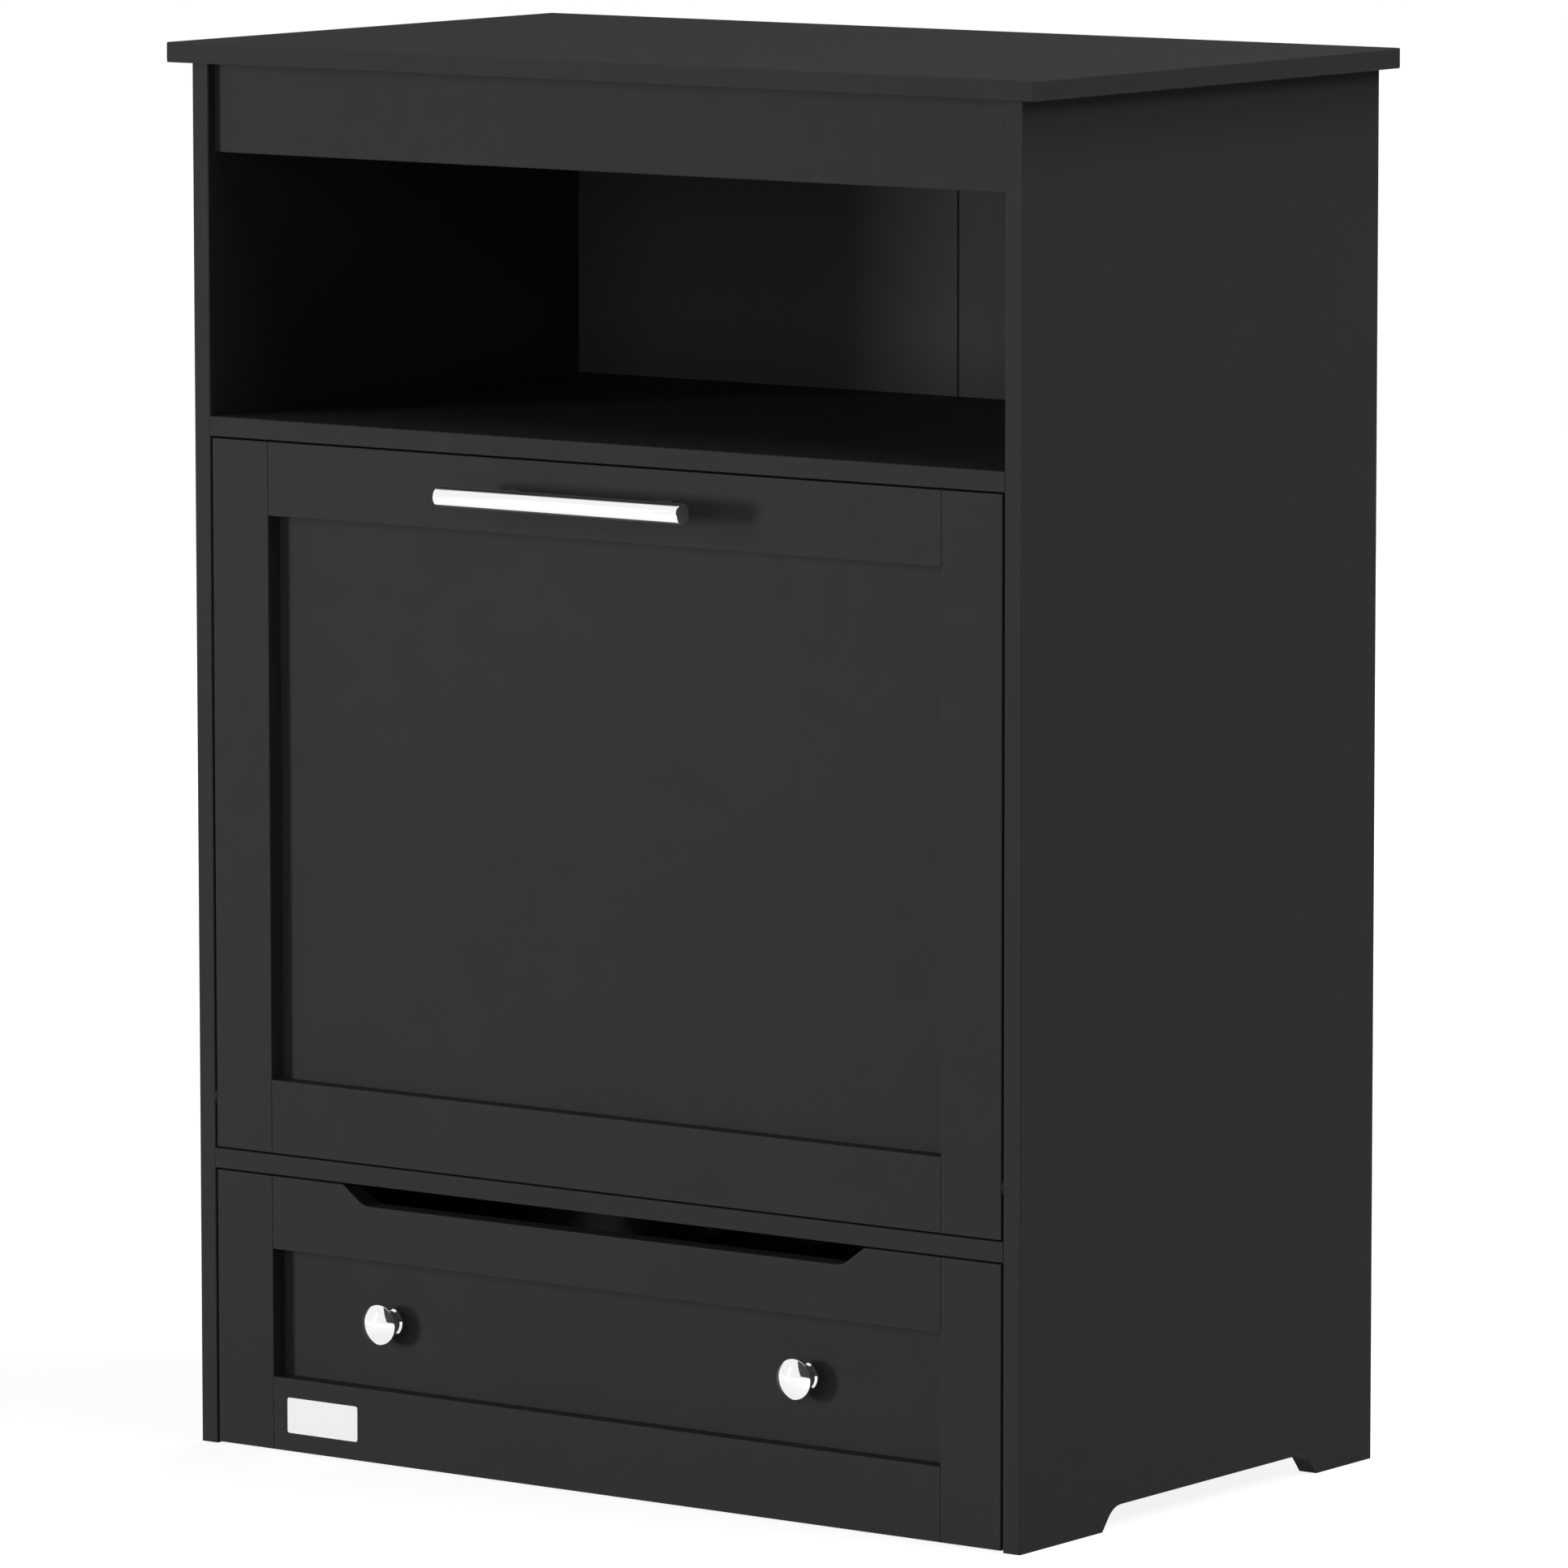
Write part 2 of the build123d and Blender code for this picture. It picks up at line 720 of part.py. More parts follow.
with BuildPart() as slotted_rail:
    add(drawer_front.rail(upper=True))
    with BuildSketch(facing(fronts_back_y)) as slot:
        with BuildLine():
            slot_floor = drawer_front_top - slot_depth
            floor_half = slot_width / 2 - slot_slant_run
            slant = slot_overrun * slot_slant_run / slot_depth
            Polyline(
                (-slot_width / 2 - slant, drawer_front_top + slot_overrun),
                (-floor_half, slot_floor),
                (floor_half, slot_floor),
                (slot_width / 2 + slant, drawer_front_top + slot_overrun),
                close=True,
            )
        make_face()
        fillet(slot.vertices().group_by(Axis.Y)[0], slot_corner_radius)
    extrude(amount=frame_thickness, mode=Mode.SUBTRACT)
save(slotted_rail.part, "drawer_front_top_rail")

with BuildPart() as grooved_rail:
    add(drawer_front.rail(upper=False))
    with BuildSketch(facing(fronts_back_y)):
        with Locations((0, bottom_z - bottom_play / 2)):
            Rectangle(2 * opening_half, bottom_sheet + bottom_play, align=LOW)
    extrude(amount=bottom_groove_depth, mode=Mode.SUBTRACT)
save(grooved_rail.part, "drawer_front_bottom_rail")

knob_face_y = front_y + panel_recess
knob_z = (drawer_front.opening_bottom + drawer_front.opening_top) / 2 + knob_rise
knob_places = {
    "left": (knob_offset - knob_spacing / 2, knob_z),
    "right": (knob_offset + knob_spacing / 2, knob_z),
}
with BuildPart() as knob_panel:
    add(drawer_front.panel())
    with BuildSketch(facing(fronts_back_y)):
        with Locations(*knob_places.values()):
            Circle(screw_diameter / 2 + fit)
    extrude(amount=frame_thickness - panel_recess, mode=Mode.SUBTRACT)
save(knob_panel.part, "drawer_front_panel")

# Crown of a knob: a shallow dome that runs into the rounded shoulder of the head
crown_height = knob_length - knob_widest_at
crown_drop = knob_head_radius - knob_shoulder_radius
crown_reach = crown_height**2 + crown_drop**2 - knob_shoulder_radius**2
crown_radius = crown_reach / (2 * (crown_height - knob_shoulder_radius))
crown_turn = atan2(crown_drop, crown_radius - crown_height)
shoulder_end = (
    knob_widest_at + knob_shoulder_radius * cos(crown_turn),
    crown_drop + knob_shoulder_radius * sin(crown_turn),
)

# Mushroom knobs, turned about an axis square to the front
for side_name, (knob_x, _) in knob_places.items():
    knob_base = (knob_x, knob_face_y, knob_z)
    with BuildPart() as knob:
        with BuildSketch(Plane(origin=knob_base, x_dir=(0, -1, 0), z_dir=(1, 0, 0))) as profile:
            with BuildLine():
                head_back = (knob_neck_reach + knob_head_slope, knob_head_radius)
                base_end = (knob_base_thickness, knob_base_radius - knob_base_bevel)
                neck_end = (knob_neck_reach, knob_neck_radius)
                base_edge = (knob_base_thickness - knob_base_bevel, knob_base_radius)
                Polyline((0, 0), (0, knob_base_radius), base_edge, base_end)
                TangentArc(neck_end, base_end, tangent=(-1, 0))
                Polyline(neck_end, head_back, (knob_widest_at, knob_head_radius))
                TangentArc((knob_widest_at, knob_head_radius), shoulder_end, tangent=(1, 0))
                RadiusArc(shoulder_end, (knob_length, 0), crown_radius)
                Line((knob_length, 0), (0, 0))
            make_face()
            fillet(profile.vertices().sort_by_distance(head_back)[0], knob_head_rounding)
        revolve(axis=Axis(knob_base, (0, -1, 0)))
        with BuildSketch(facing(knob_face_y)):
            with Locations((knob_x, knob_z)):
                Circle(screw_diameter / 2 + fit)
        extrude(amount=screw_bite + fit, mode=Mode.SUBTRACT)
    save(knob.part, f"{side_name}_knob")

save(back_screws(knob_places.values(), fronts_back_y, frame_thickness - panel_recess), "knob_screws")

# Drawer box: sides grooved for the bottom, and a back between them
for side_name, hand in SIDES.items():
    with BuildPart() as drawer_side:
        with BuildSketch(beside(hand * (drawer_half - board))):
            with Locations((fronts_back_y + drawer_box_depth / 2, drawer_box_bottom)):
                Rectangle(drawer_box_depth, bowl_board_z - drawer_box_bottom, align=LOW)
        extrude(amount=hand * board)
        with BuildSketch(beside(hand * (drawer_half - board))):
            with Locations((fronts_back_y + drawer_box_depth / 2, bottom_z - bottom_play / 2)):
                Rectangle(drawer_box_depth, bottom_sheet + bottom_play, align=LOW)
        extrude(amount=hand * bottom_groove_depth, mode=Mode.SUBTRACT)
        seat_cams(drawer_joints[hand])
    save(drawer_side.part, f"drawer_{side_name}_side")

drawer_inner_half = drawer_half - board
with BuildPart() as drawer_back:
    with BuildSketch(facing(box_back_y)):
        with Locations((0, bottom_z + bottom_sheet + bottom_play / 2)):
            back_rise = bowl_board_z - bottom_z - bottom_sheet - bottom_play / 2
            Rectangle(2 * drawer_inner_half, back_rise, align=LOW)
    extrude(amount=board)
save(drawer_back.part, "drawer_back")

with BuildPart() as drawer_bottom:
    with BuildSketch(level(bottom_z)):
        with Locations((0, fronts_back_y)):
            groove_reach = bottom_groove_depth - bottom_play
            Rectangle(2 * (drawer_inner_half + groove_reach), drawer_box_depth, align=LOW)
        with Locations((0, fronts_back_y - groove_reach)):
            Rectangle(2 * (opening_half - bottom_play), groove_reach, align=LOW)
    extrude(amount=bottom_sheet)
save(drawer_bottom.part, "drawer_bottom")

# Bowl board, resting on the box, with two round holes
bowl_y = fronts_back_y + bowl_front_gap + bowl_rim_diameter / 2
bowl_spacing = bowl_rim_diameter + bowl_gap
bowl_body_diameter = bowl_rim_diameter - 2 * bowl_rim_width
with BuildPart() as bowl_board:
    with BuildSketch(level(bowl_board_z)):
        with Locations((0, fronts_back_y)):
            Rectangle(2 * drawer_half, drawer_box_depth, align=LOW)
        with Locations((0, bowl_y)):
            with GridLocations(bowl_spacing, 0, 2, 1):
                Circle(bowl_body_diameter / 2 + bowl_hole_play, mode=Mode.SUBTRACT)
    extrude(amount=board)
save(bowl_board.part, "bowl_board")

# Pressed steel bowls, hanging in the board by their rims
bowl_base_z = bowl_board_top + seat_gap + bowl_rim_drop - bowl_depth
for side_name, hand in SIDES.items():
    bowl_x = hand * bowl_spacing / 2
    with BuildPart() as bowl:
        bowl_plane = Plane(origin=(bowl_x, bowl_y, bowl_base_z), x_dir=(1, 0, 0), z_dir=(0, -1, 0))
        with BuildSketch(bowl_plane) as section:
            with BuildLine():
                body = bowl_body_diameter / 2
                base = body - bowl_taper
                rim = bowl_rim_diameter / 2
                Polyline(
                    (0, 0),
                    (base, 0),
                    (body, bowl_depth - bowl_wall),
                    (rim - bowl_wall, bowl_depth - bowl_wall),
                    (rim - bowl_wall, bowl_depth - bowl_rim_drop),
                    (rim, bowl_depth - bowl_rim_drop),
                    (rim, bowl_depth),
                    (body - bowl_wall, bowl_depth),
                    (base - bowl_wall, bowl_wall),
                    (0, bowl_wall),
                    close=True,
                )
            make_face()
            corners = section.vertices()
            outer_base = corners.sort_by_distance((base, 0))[0]
            inner_base = corners.sort_by_distance((base - bowl_wall, bowl_wall))[0]
            fillet(outer_base, bowl_base_radius)
            fillet(inner_base, bowl_base_radius - bowl_wall)
        revolve(axis=Axis((bowl_x, bowl_y, 0), (0, 0, 1)))
    save(bowl.part, f"{side_name}_bowl")


def across(hand, inner, outer):
    """Middle and width of a span between two distances from the cabinet's centre line."""
    return hand * (inner + outer) / 2, outer - inner


# Cabinet member of each runner: a channel screwed to the side, with the front roller's axle
for side_name, hand in SIDES.items():
    web_face = inner_half - runner_sheet
    axle_tip = web_face - roller_side_play - roller_width - fit
    with BuildPart() as channel:
        with BuildSketch(facing(channel_front_y)):
            middle, width = across(hand, web_face, inner_half)
            with Locations((middle, channel_z)):
                Rectangle(width, channel_height, align=LOW)
            middle, width = across(hand, inner_half - channel_width, inner_half)
            for flange_z in (channel_z, channel_z + channel_height - runner_sheet):
                with Locations((middle, flange_z)):
                    Rectangle(width, runner_sheet, align=LOW)
        extrude(amount=-drawer_box_depth)
        with BuildSketch(beside(hand * web_face)):
            with Locations((front_roller_y, front_roller_z)):
                Circle(axle_diameter / 2)
        extrude(amount=hand * (axle_tip - web_face))
        with BuildSketch(beside(hand * axle_tip)):
            with Locations((front_roller_y, front_roller_z)):
                Circle(axle_head_diameter / 2)
        extrude(amount=-hand * axle_head_thickness)
    save(channel.part, f"{side_name}_cabinet_runner")

# Drawer member: a folded strip under the drawer side that rides on the front roller
for side_name, hand in SIDES.items():
    web_face = drawer_half + runner_sheet
    axle_tip = web_face + roller_side_play + roller_width + fit
    with BuildPart() as rider:
        with BuildSketch(facing(fronts_back_y)):
            middle, width = across(hand, drawer_half, web_face)
            with Locations((middle, drawer_box_bottom - runner_sheet)):
                Rectangle(width, rider_z + 2 * runner_sheet - drawer_box_bottom, align=LOW)
            middle, width = across(hand, drawer_half, drawer_half + rider_width)
            with Locations((middle, rider_z)):
                Rectangle(width, runner_sheet, align=LOW)
            middle, width = across(hand, web_face - rider_foot, web_face)
            with Locations((middle, drawer_box_bottom - runner_sheet)):
                Rectangle(width, runner_sheet, align=LOW)
        extrude(amount=-drawer_box_depth)
        with BuildSketch(beside(hand * web_face)):
            with Locations((rear_roller_y, rear_roller_z)):
                Circle(axle_diameter / 2)
        extrude(amount=hand * (axle_tip - web_face))
        with BuildSketch(beside(hand * axle_tip)):
            with Locations((rear_roller_y, rear_roller_z)):
                Circle(axle_head_diameter / 2)
        extrude(amount=hand * axle_head_thickness)
    save(rider.part, f"{side_name}_drawer_runner")


def roller(x_inner, y, z, hand):
    """A nylon wheel bored for its axle."""
    with BuildPart() as wheel:
        with BuildSketch(beside(hand * x_inner)):
            with Locations((y, z)):
                Circle(roller_radius)
        extrude(amount=hand * roller_width)
        chamfer(wheel.edges().filter_by(GeomType.CIRCLE), roller_chamfer)
        with BuildSketch(beside(hand * x_inner)):
            with Locations((y, z)):
                Circle(axle_diameter / 2 + running_fit)
        extrude(amount=hand * roller_width, mode=Mode.SUBTRACT)
    return wheel.part


for side_name, hand in SIDES.items():
    front_roller_x = inner_half - runner_sheet - roller_side_play - roller_width
    rear_roller_x = drawer_half + runner_sheet + roller_side_play
    save(roller(front_roller_x, front_roller_y, front_roller_z, hand), f"{side_name}_front_roller")
    save(roller(rear_roller_x, rear_roller_y, rear_roller_z, hand), f"{side_name}_rear_roller")

# Fasteners of the board joints
save_cams(shelf_joints + divider_joints + apron_joints + top_joints(LEFT) + top_joints(RIGHT), "carcass")
save_cams(bin_joints[LEFT] + bin_joints[RIGHT], "bin")
save_cams(drawer_joints[LEFT] + drawer_joints[RIGHT], "drawer")
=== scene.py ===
"""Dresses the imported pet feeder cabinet: finishes, fine hardware, fixings and a soft studio."""

import logging
import math
from dataclasses import dataclass, field, replace
from enum import Enum
from typing import Iterable, Sequence

import bmesh
import bpy
from mathutils import Matrix, Vector


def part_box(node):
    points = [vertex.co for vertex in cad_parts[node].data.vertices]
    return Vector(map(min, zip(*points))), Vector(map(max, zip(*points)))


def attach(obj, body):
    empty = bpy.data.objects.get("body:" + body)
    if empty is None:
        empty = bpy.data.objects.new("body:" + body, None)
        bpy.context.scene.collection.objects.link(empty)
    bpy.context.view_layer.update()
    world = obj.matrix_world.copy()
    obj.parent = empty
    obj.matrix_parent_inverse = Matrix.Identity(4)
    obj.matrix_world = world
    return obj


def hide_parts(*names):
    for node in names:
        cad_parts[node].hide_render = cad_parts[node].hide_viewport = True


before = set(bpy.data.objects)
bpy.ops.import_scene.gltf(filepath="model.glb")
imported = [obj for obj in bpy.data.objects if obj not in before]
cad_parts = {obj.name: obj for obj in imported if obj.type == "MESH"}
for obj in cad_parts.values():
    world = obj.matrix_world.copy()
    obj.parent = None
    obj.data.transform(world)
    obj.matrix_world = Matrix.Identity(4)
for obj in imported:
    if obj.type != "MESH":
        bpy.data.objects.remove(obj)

log = logging.getLogger("cabinet")

Point = tuple[float, float]
Point3 = tuple[float, float, float]
Colour = tuple[float, float, float]
Box = tuple[Vector, Vector]
Socket = bpy.types.NodeSocket
Loop = list[bmesh.types.BMVert]
Inputs = dict[str | int, object]

MM = 0.001
# Points of a node that are closer than this are one
WELD = 0.001 * MM
# A ring narrower than this is a single point
POINT_RADIUS = 1e-7
# Nearly all of a noise lies in this range
NOISE_RANGE: Point = (0.3, 0.7)
# Cosine of a bend at which a spot counts fully as an edge
EDGE_COSINE = 0.85
EDGE_SAMPLES = 6
# Finer layers in the noise of the colour, the gloss and the relief
COLOUR_DETAIL, GLOSS_DETAIL, RELIEF_DETAIL = 4, 5, 2
# The gloss varies on a scale this much finer than the colour
GLOSS_FINENESS = 5


class Body(Enum):
    """Bodies of the cabinet that pieces ride on."""

    CARCASS = "cabinet"
    BIN = "tilt_bin"
    DRAWER = "drawer"
    LEFT_BOWL = "bowl_left"
    RIGHT_BOWL = "bowl_right"


class Slot(Enum):
    """Finishes of the record, which a new piece may name."""

    CHROME = "bright_chrome"
    BOWL = "bowl_steel"
    ZINC = "zinc_steel"


class Side(Enum):
    """The two hands of the cabinet."""

    LEFT = "left"
    RIGHT = "right"


class Facing(Enum):
    """Ways that a fixing's head, or a turned piece's axis, may face."""

    FRONT = (0.0, -1.0, 0.0)
    BACK = (0.0, 1.0, 0.0)
    LEFT = (-1.0, 0.0, 0.0)
    RIGHT = (1.0, 0.0, 0.0)
    UP = (0.0, 0.0, 1.0)
    DOWN = (0.0, 0.0, -1.0)

    def at(self, origin: Vector) -> Matrix:
        """Puts local Z along this way.

        Args:
            origin: Point that local Z leaves.

        Returns:
            The matrix.
        """
        turn = Vector((0, 0, 1)).rotation_difference(Vector(self.value))
        return Matrix.Translation(origin) @ turn.to_matrix().to_4x4()


class Nodes:
    """A node tree, with short ways to add its nodes and feed them."""

    def __init__(self, tree: bpy.types.NodeTree) -> None:
        """Takes up a tree."""
        self.tree = tree

    def feed(self, node: bpy.types.Node, inputs: Inputs) -> None:
        """Sets a node's inputs.

        Args:
            node: The node.
            inputs: Values, or the sockets that they come from, by the input's name or place.
        """
        for key, value in inputs.items():
            if isinstance(value, Socket):
                self.tree.links.new(value, node.inputs[key])
            else:
                node.inputs[key].default_value = value

    def node(
        self, kind: str, inputs: Inputs | None = None, **settings: object
    ) -> bpy.types.Node:
        """Adds a node.

        Args:
            kind: The node's type name, without "ShaderNode".
            inputs: Values of its inputs, or the sockets that they come from.
            settings: Attributes of the node, by name.

        Returns:
            The new node.
        """
        made = self.tree.nodes.new(f"ShaderNode{kind}")
        for key, value in settings.items():
            setattr(made, key, value)
        self.feed(made, inputs or {})
        return made

    def combine(self, operation: str, *values: Socket | float) -> Socket:
        """Combines values, or what their sockets give, by an operation of the Math node."""
        made = self.node("Math", dict(enumerate(values)), operation=operation)
        return made.outputs["Value"]

    def seen(self) -> Socket:
        """Tells looking rays from rays that light things.

        Returns:
            A socket that is one where the camera, gloss or glass looks, and nought otherwise.
        """
        rays = self.node("LightPath").outputs
        either = self.combine("MAXIMUM", rays["Is Camera Ray"], rays["Is Glossy Ray"])
        return self.combine("MAXIMUM", either, rays["Is Transmission Ray"])


class Graph(Nodes):
    """The node tree of a new material."""

    def __init__(self, name: str) -> None:
        """Starts a material of this name with its usual shader."""
        self.material = bpy.data.materials.new(name)
        self.material.use_nodes = True
        super().__init__(self.material.node_tree)
        self.shader = self.tree.nodes["Principled BSDF"]

    def surface(self, shader: Socket) -> None:
        """Puts another shader on the surface."""
        self.feed(self.tree.nodes["Material Output"], {"Surface": shader})

    def place(self, stretch: Point3 = (1.0, 1.0, 1.0)) -> Socket:
        """Coordinates on the piece itself, in metres, with a factor for each axis."""
        inputs = {"Vector": self.node("TexCoord").outputs["Object"], "Scale": stretch}
        return self.node("Mapping", inputs).outputs["Vector"]

    def noise(self, scale: float, detail: float, stretch: Point3) -> Socket:
        """Noise of some cells per metre and finer layers, stretched along the axes."""
        inputs = {"Vector": self.place(stretch), "Scale": scale, "Detail": detail}
        return self.node("TexNoise", inputs).outputs["Fac"]

    def ramp(self, source: Socket, given: Point, wanted: Point = (0.0, 1.0)) -> Socket:
        """Maps a source from its given range to the wanted one."""
        keys = ("Value", "From Min", "From Max", "To Min", "To Max")
        return self.node("MapRange", dict(zip(keys, (source, *given, *wanted)))).outputs["Result"]

    def blend(self, factor: Socket, first: Colour | Socket, second: Colour) -> Socket:
        """Blends two colours.

        Args:
            factor: Socket of the share of the second colour.
            first: The first colour, or its socket.
            second: The second colour.

        Returns:
            The colour socket of the blend.
        """
        if isinstance(first, tuple):
            first = (*first, 1)
        inputs = {"Factor": factor, "A": first, "B": (*second, 1)}
        return self.node("Mix", inputs, data_type="RGBA").outputs["Result"]

    def edges(self, radius: float) -> tuple[Socket, Socket]:
        """Rounded normals near edges, and a mask that is one on the edges, where a highlight is
        painted.

        Args:
            radius: Reach of the rounding, in metres.

        Returns:
            The normal socket and the mask socket.
        """
        normal = self.node("Bevel", {"Radius": radius}, samples=EDGE_SAMPLES).outputs["Normal"]
        flat = self.node("NewGeometry").outputs["Normal"]
        dot = self.node("VectorMath", {0: normal, 1: flat}, operation="DOT_PRODUCT")
        return normal, self.ramp(dot.outputs["Value"], (1.0, EDGE_COSINE))

    def bump(self, height: Socket, depth: float, normal: Socket) -> Socket:
        """Raises a pattern over a normal; its height runs from nought to a depth in metres."""
        inputs = {"Height": height, "Distance": depth, "Normal": normal}
        return self.node("Bump", inputs).outputs["Normal"]


def shade(colour: Colour, factor: float) -> Colour:
    """A colour made lighter or darker by a factor."""
    return tuple(min(1.0, part * factor) for part in colour)


@dataclass(frozen=True)
class Finish:
    """A finish: its colour and gloss, how it is mottled and raised, and the highlight painted on
    its edges.
    """

    name: str
    colour: Colour
    roughness: float
    metallic: float = 0.0
    specular: float = 0.5
    roughness_spread: float = 0.05
    mottle: float = 0.05
    mottle_scale: float = 9.0
    relief_scale: float = 900.0
    relief_depth: float = 0.02 * MM
    stretch: Point3 = (1.0, 1.0, 1.0)
    edge_radius: float = 0.5 * MM
    # Factor on the colour at the edges, which paints a highlight along them
    edge_highlight: float = 1.25

    def tones(self) -> tuple[Colour, Colour]:
        """The darker and the lighter tone of the mottling."""
        return shade(self.colour, 1 - self.mottle), shade(self.colour, 1 + self.mottle)

    def base(self, graph: Graph, mask: Socket) -> Socket:
        """Colour of the surface: mottled, with a painted highlight that makes the edges lighter.

        Args:
            graph: The material's node tree.
            mask: Socket that is one on the edges, where a highlight is painted.

        Returns:
            The colour socket.
        """
        noise = graph.noise(self.mottle_scale, COLOUR_DETAIL, self.stretch)
        mottled = graph.blend(graph.ramp(noise, NOISE_RANGE), *self.tones())
        # The edges take a painted highlight, a lighter copy of the colour
        return graph.blend(mask, mottled, shade(self.colour, self.edge_highlight))

    def relief(self, graph: Graph) -> Socket:
        """Height of the fine relief of the surface."""
        return graph.noise(self.relief_scale, RELIEF_DETAIL, self.stretch)

    def extras(self, graph: Graph) -> None:
        """Adds what only one kind of finish has."""

    def material(self) -> bpy.types.Material:
        """Builds the material, or finds it if it has been built.

        Returns:
            The material.
        """
        known = bpy.data.materials.get(self.name)
        if known is not None:
            return known
        graph = Graph(self.name)
        normal, mask = graph.edges(self.edge_radius)
        noise = graph.noise(self.mottle_scale * GLOSS_FINENESS, GLOSS_DETAIL, self.stretch)
        gloss = (self.roughness - self.roughness_spread, self.roughness + self.roughness_spread)
        graph.feed(graph.shader, {
            "Base Color": self.base(graph, mask),
            "Roughness": graph.ramp(noise, NOISE_RANGE, gloss),
            "Normal": graph.bump(self.relief(graph), self.relief_depth, normal),
            "Metallic": self.metallic,
            "Specular IOR Level": self.specular,
        })
        self.extras(graph)
        return graph.material


@dataclass(frozen=True)
class Spun(Finish):
    """Steel spun on a lathe: fine rings about an upright axis."""

    centre: Point3 = (0.0, 0.0, 0.0)
    ring_scale: float = 420.0
    ring_wobble: float = 1.5
    ring_detail: float = 2.0

    def relief(self, graph: Graph) -> Socket:
        """Height of the tool rings, a little uneven.

        Args:
            graph: The material's node tree.

        Returns:
            The socket of the height.
        """
        shift = {0: graph.place(), 1: self.centre}
        inputs = {
            "Vector": graph.node("VectorMath", shift, operation="SUBTRACT").outputs["Vector"],
            "Scale": self.ring_scale,
            "Distortion": self.ring_wobble,
            "Detail": self.ring_detail,
        }
        rings = graph.node("TexWave", inputs, wave_type="RINGS", rings_direction="Z")
        return rings.outputs["Fac"]


@dataclass(frozen=True)
class Plated(Finish):
    """Zinc plate: small crystals of slightly different greys."""

    crystal_scale: float = 700.0

    def base(self, graph: Graph, mask: Socket) -> Socket:
        """Colour of the crystals, with a painted highlight on the edges.

        Args:
            graph: The material's node tree.
            mask: Socket that is one on the edges, which take the lighter tone as a painted
                highlight.

        Returns:
            The colour socket.
        """
        cells = graph.node("TexVoronoi", {"Vector": graph.place(), "Scale": self.crystal_scale})
        grey = graph.node("SeparateColor", {"Color": cells.outputs["Color"]})
        # The edges take the lighter tone, a painted highlight
        factor = graph.combine("MAXIMUM", grey.outputs["Red"], mask)
        return graph.blend(factor, *self.tones())


@dataclass(frozen=True)
class MagnetCase(Finish):
    """Moulded plastic, with bare steel where the magnet faces stand proud of it."""

    steel: Colour = (0.5, 0.5, 0.5)
    case_front: float = 0.0

    def extras(self, graph: Graph) -> None:
        """Turns the surface to steel in front of the case.

        Args:
            graph: The material's node tree.
        """
        axes = graph.node("SeparateXYZ", {"Vector": graph.place()})
        proud = graph.combine("LESS_THAN", axes.outputs["Y"], self.case_front)
        plastic = graph.shader.inputs["Base Color"].links[0].from_socket
        both = graph.blend(proud, plastic, self.steel)
        graph.feed(graph.shader, {"Base Color": both, "Metallic": proud})


# The edge factors below paint a lighter line along the edges, a painted highlight
LACQUER = Finish(
    "lacquered_board", (0.027, 0.027, 0.0274), 0.56, specular=0.05, roughness_spread=0.02,
    mottle=0.02, mottle_scale=14, relief_scale=700, relief_depth=0.008 * MM,
    edge_radius=0.8 * MM, edge_highlight=2.0,
)
DOOR_LACQUER = replace(
    LACQUER, name="sprayed_front", roughness=0.54, mottle_scale=11, relief_scale=520,
    relief_depth=0.006 * MM, edge_radius=0.6 * MM, edge_highlight=1.9,
)
BACK_SHEET = Finish(
    "faced_back_sheet", (0.038, 0.038, 0.0385), 0.6, specular=0.05, roughness_spread=0.03,
    mottle=0.04, relief_scale=1300, relief_depth=0.012 * MM, stretch=(1, 1, 0.25),
    edge_radius=0.3 * MM,
)
CHROME = Finish(
    "polished_chrome", (0.9, 0.9, 0.905), 0.045, metallic=0.95, roughness_spread=0.015,
    mottle=0.01, mottle_scale=60, relief_scale=300, relief_depth=0.0006 * MM,
    edge_radius=0.12 * MM, edge_highlight=1.0,
)
ZINC = Plated(
    "bright_zinc_plate", (0.55, 0.56, 0.57), 0.34, metallic=1.0, roughness_spread=0.08,
    mottle=0.14, relief_scale=1800, relief_depth=0.006 * MM, edge_radius=0.15 * MM,
)
EPOXY = Finish(
    "epoxy_runner_paint", (0.035, 0.035, 0.035), 0.42, specular=0.35, mottle=0.06,
    relief_scale=2600, edge_radius=0.25 * MM, edge_highlight=1.6,
)
NYLON = Finish(
    "moulded_nylon", (0.72, 0.72, 0.69), 0.42, specular=0.4, mottle=0.03,
    relief_scale=1500, relief_depth=0.01 * MM, edge_radius=0.3 * MM, edge_highlight=1.05,
)
BLACK_PLASTIC = Finish(
    "moulded_black_plastic", (0.01, 0.01, 0.01), 0.5, specular=0.1,
    relief_scale=3000, edge_radius=0.3 * MM,
)
RUBBER = Finish(
    "soft_pad_rubber", (0.42, 0.42, 0.41), 0.4, specular=0.4, mottle=0.04,
    edge_radius=0.4 * MM, edge_highlight=1.1,
)
LABEL_FILM = Finish(
    "blank_label_film", (0.96, 0.96, 0.96), 0.35, mottle=0.008,
    relief_scale=1200, relief_depth=0.003 * MM, edge_radius=0.1 * MM, edge_highlight=1.0,
)
BOWL_STEEL = Spun(
    "spun_steel", (0.6, 0.6, 0.59), 0.28, metallic=1.0, mottle=0.03,
    relief_depth=0.008 * MM, edge_radius=0.3 * MM, edge_highlight=1.0,
)


def turn_about(heading: Point, angle: float) -> Point:
    """A heading turned by an angle, in radians."""
    cos, sin = math.cos(angle), math.sin(angle)
    return heading[0] * cos - heading[1] * sin, heading[0] * sin + heading[1] * cos


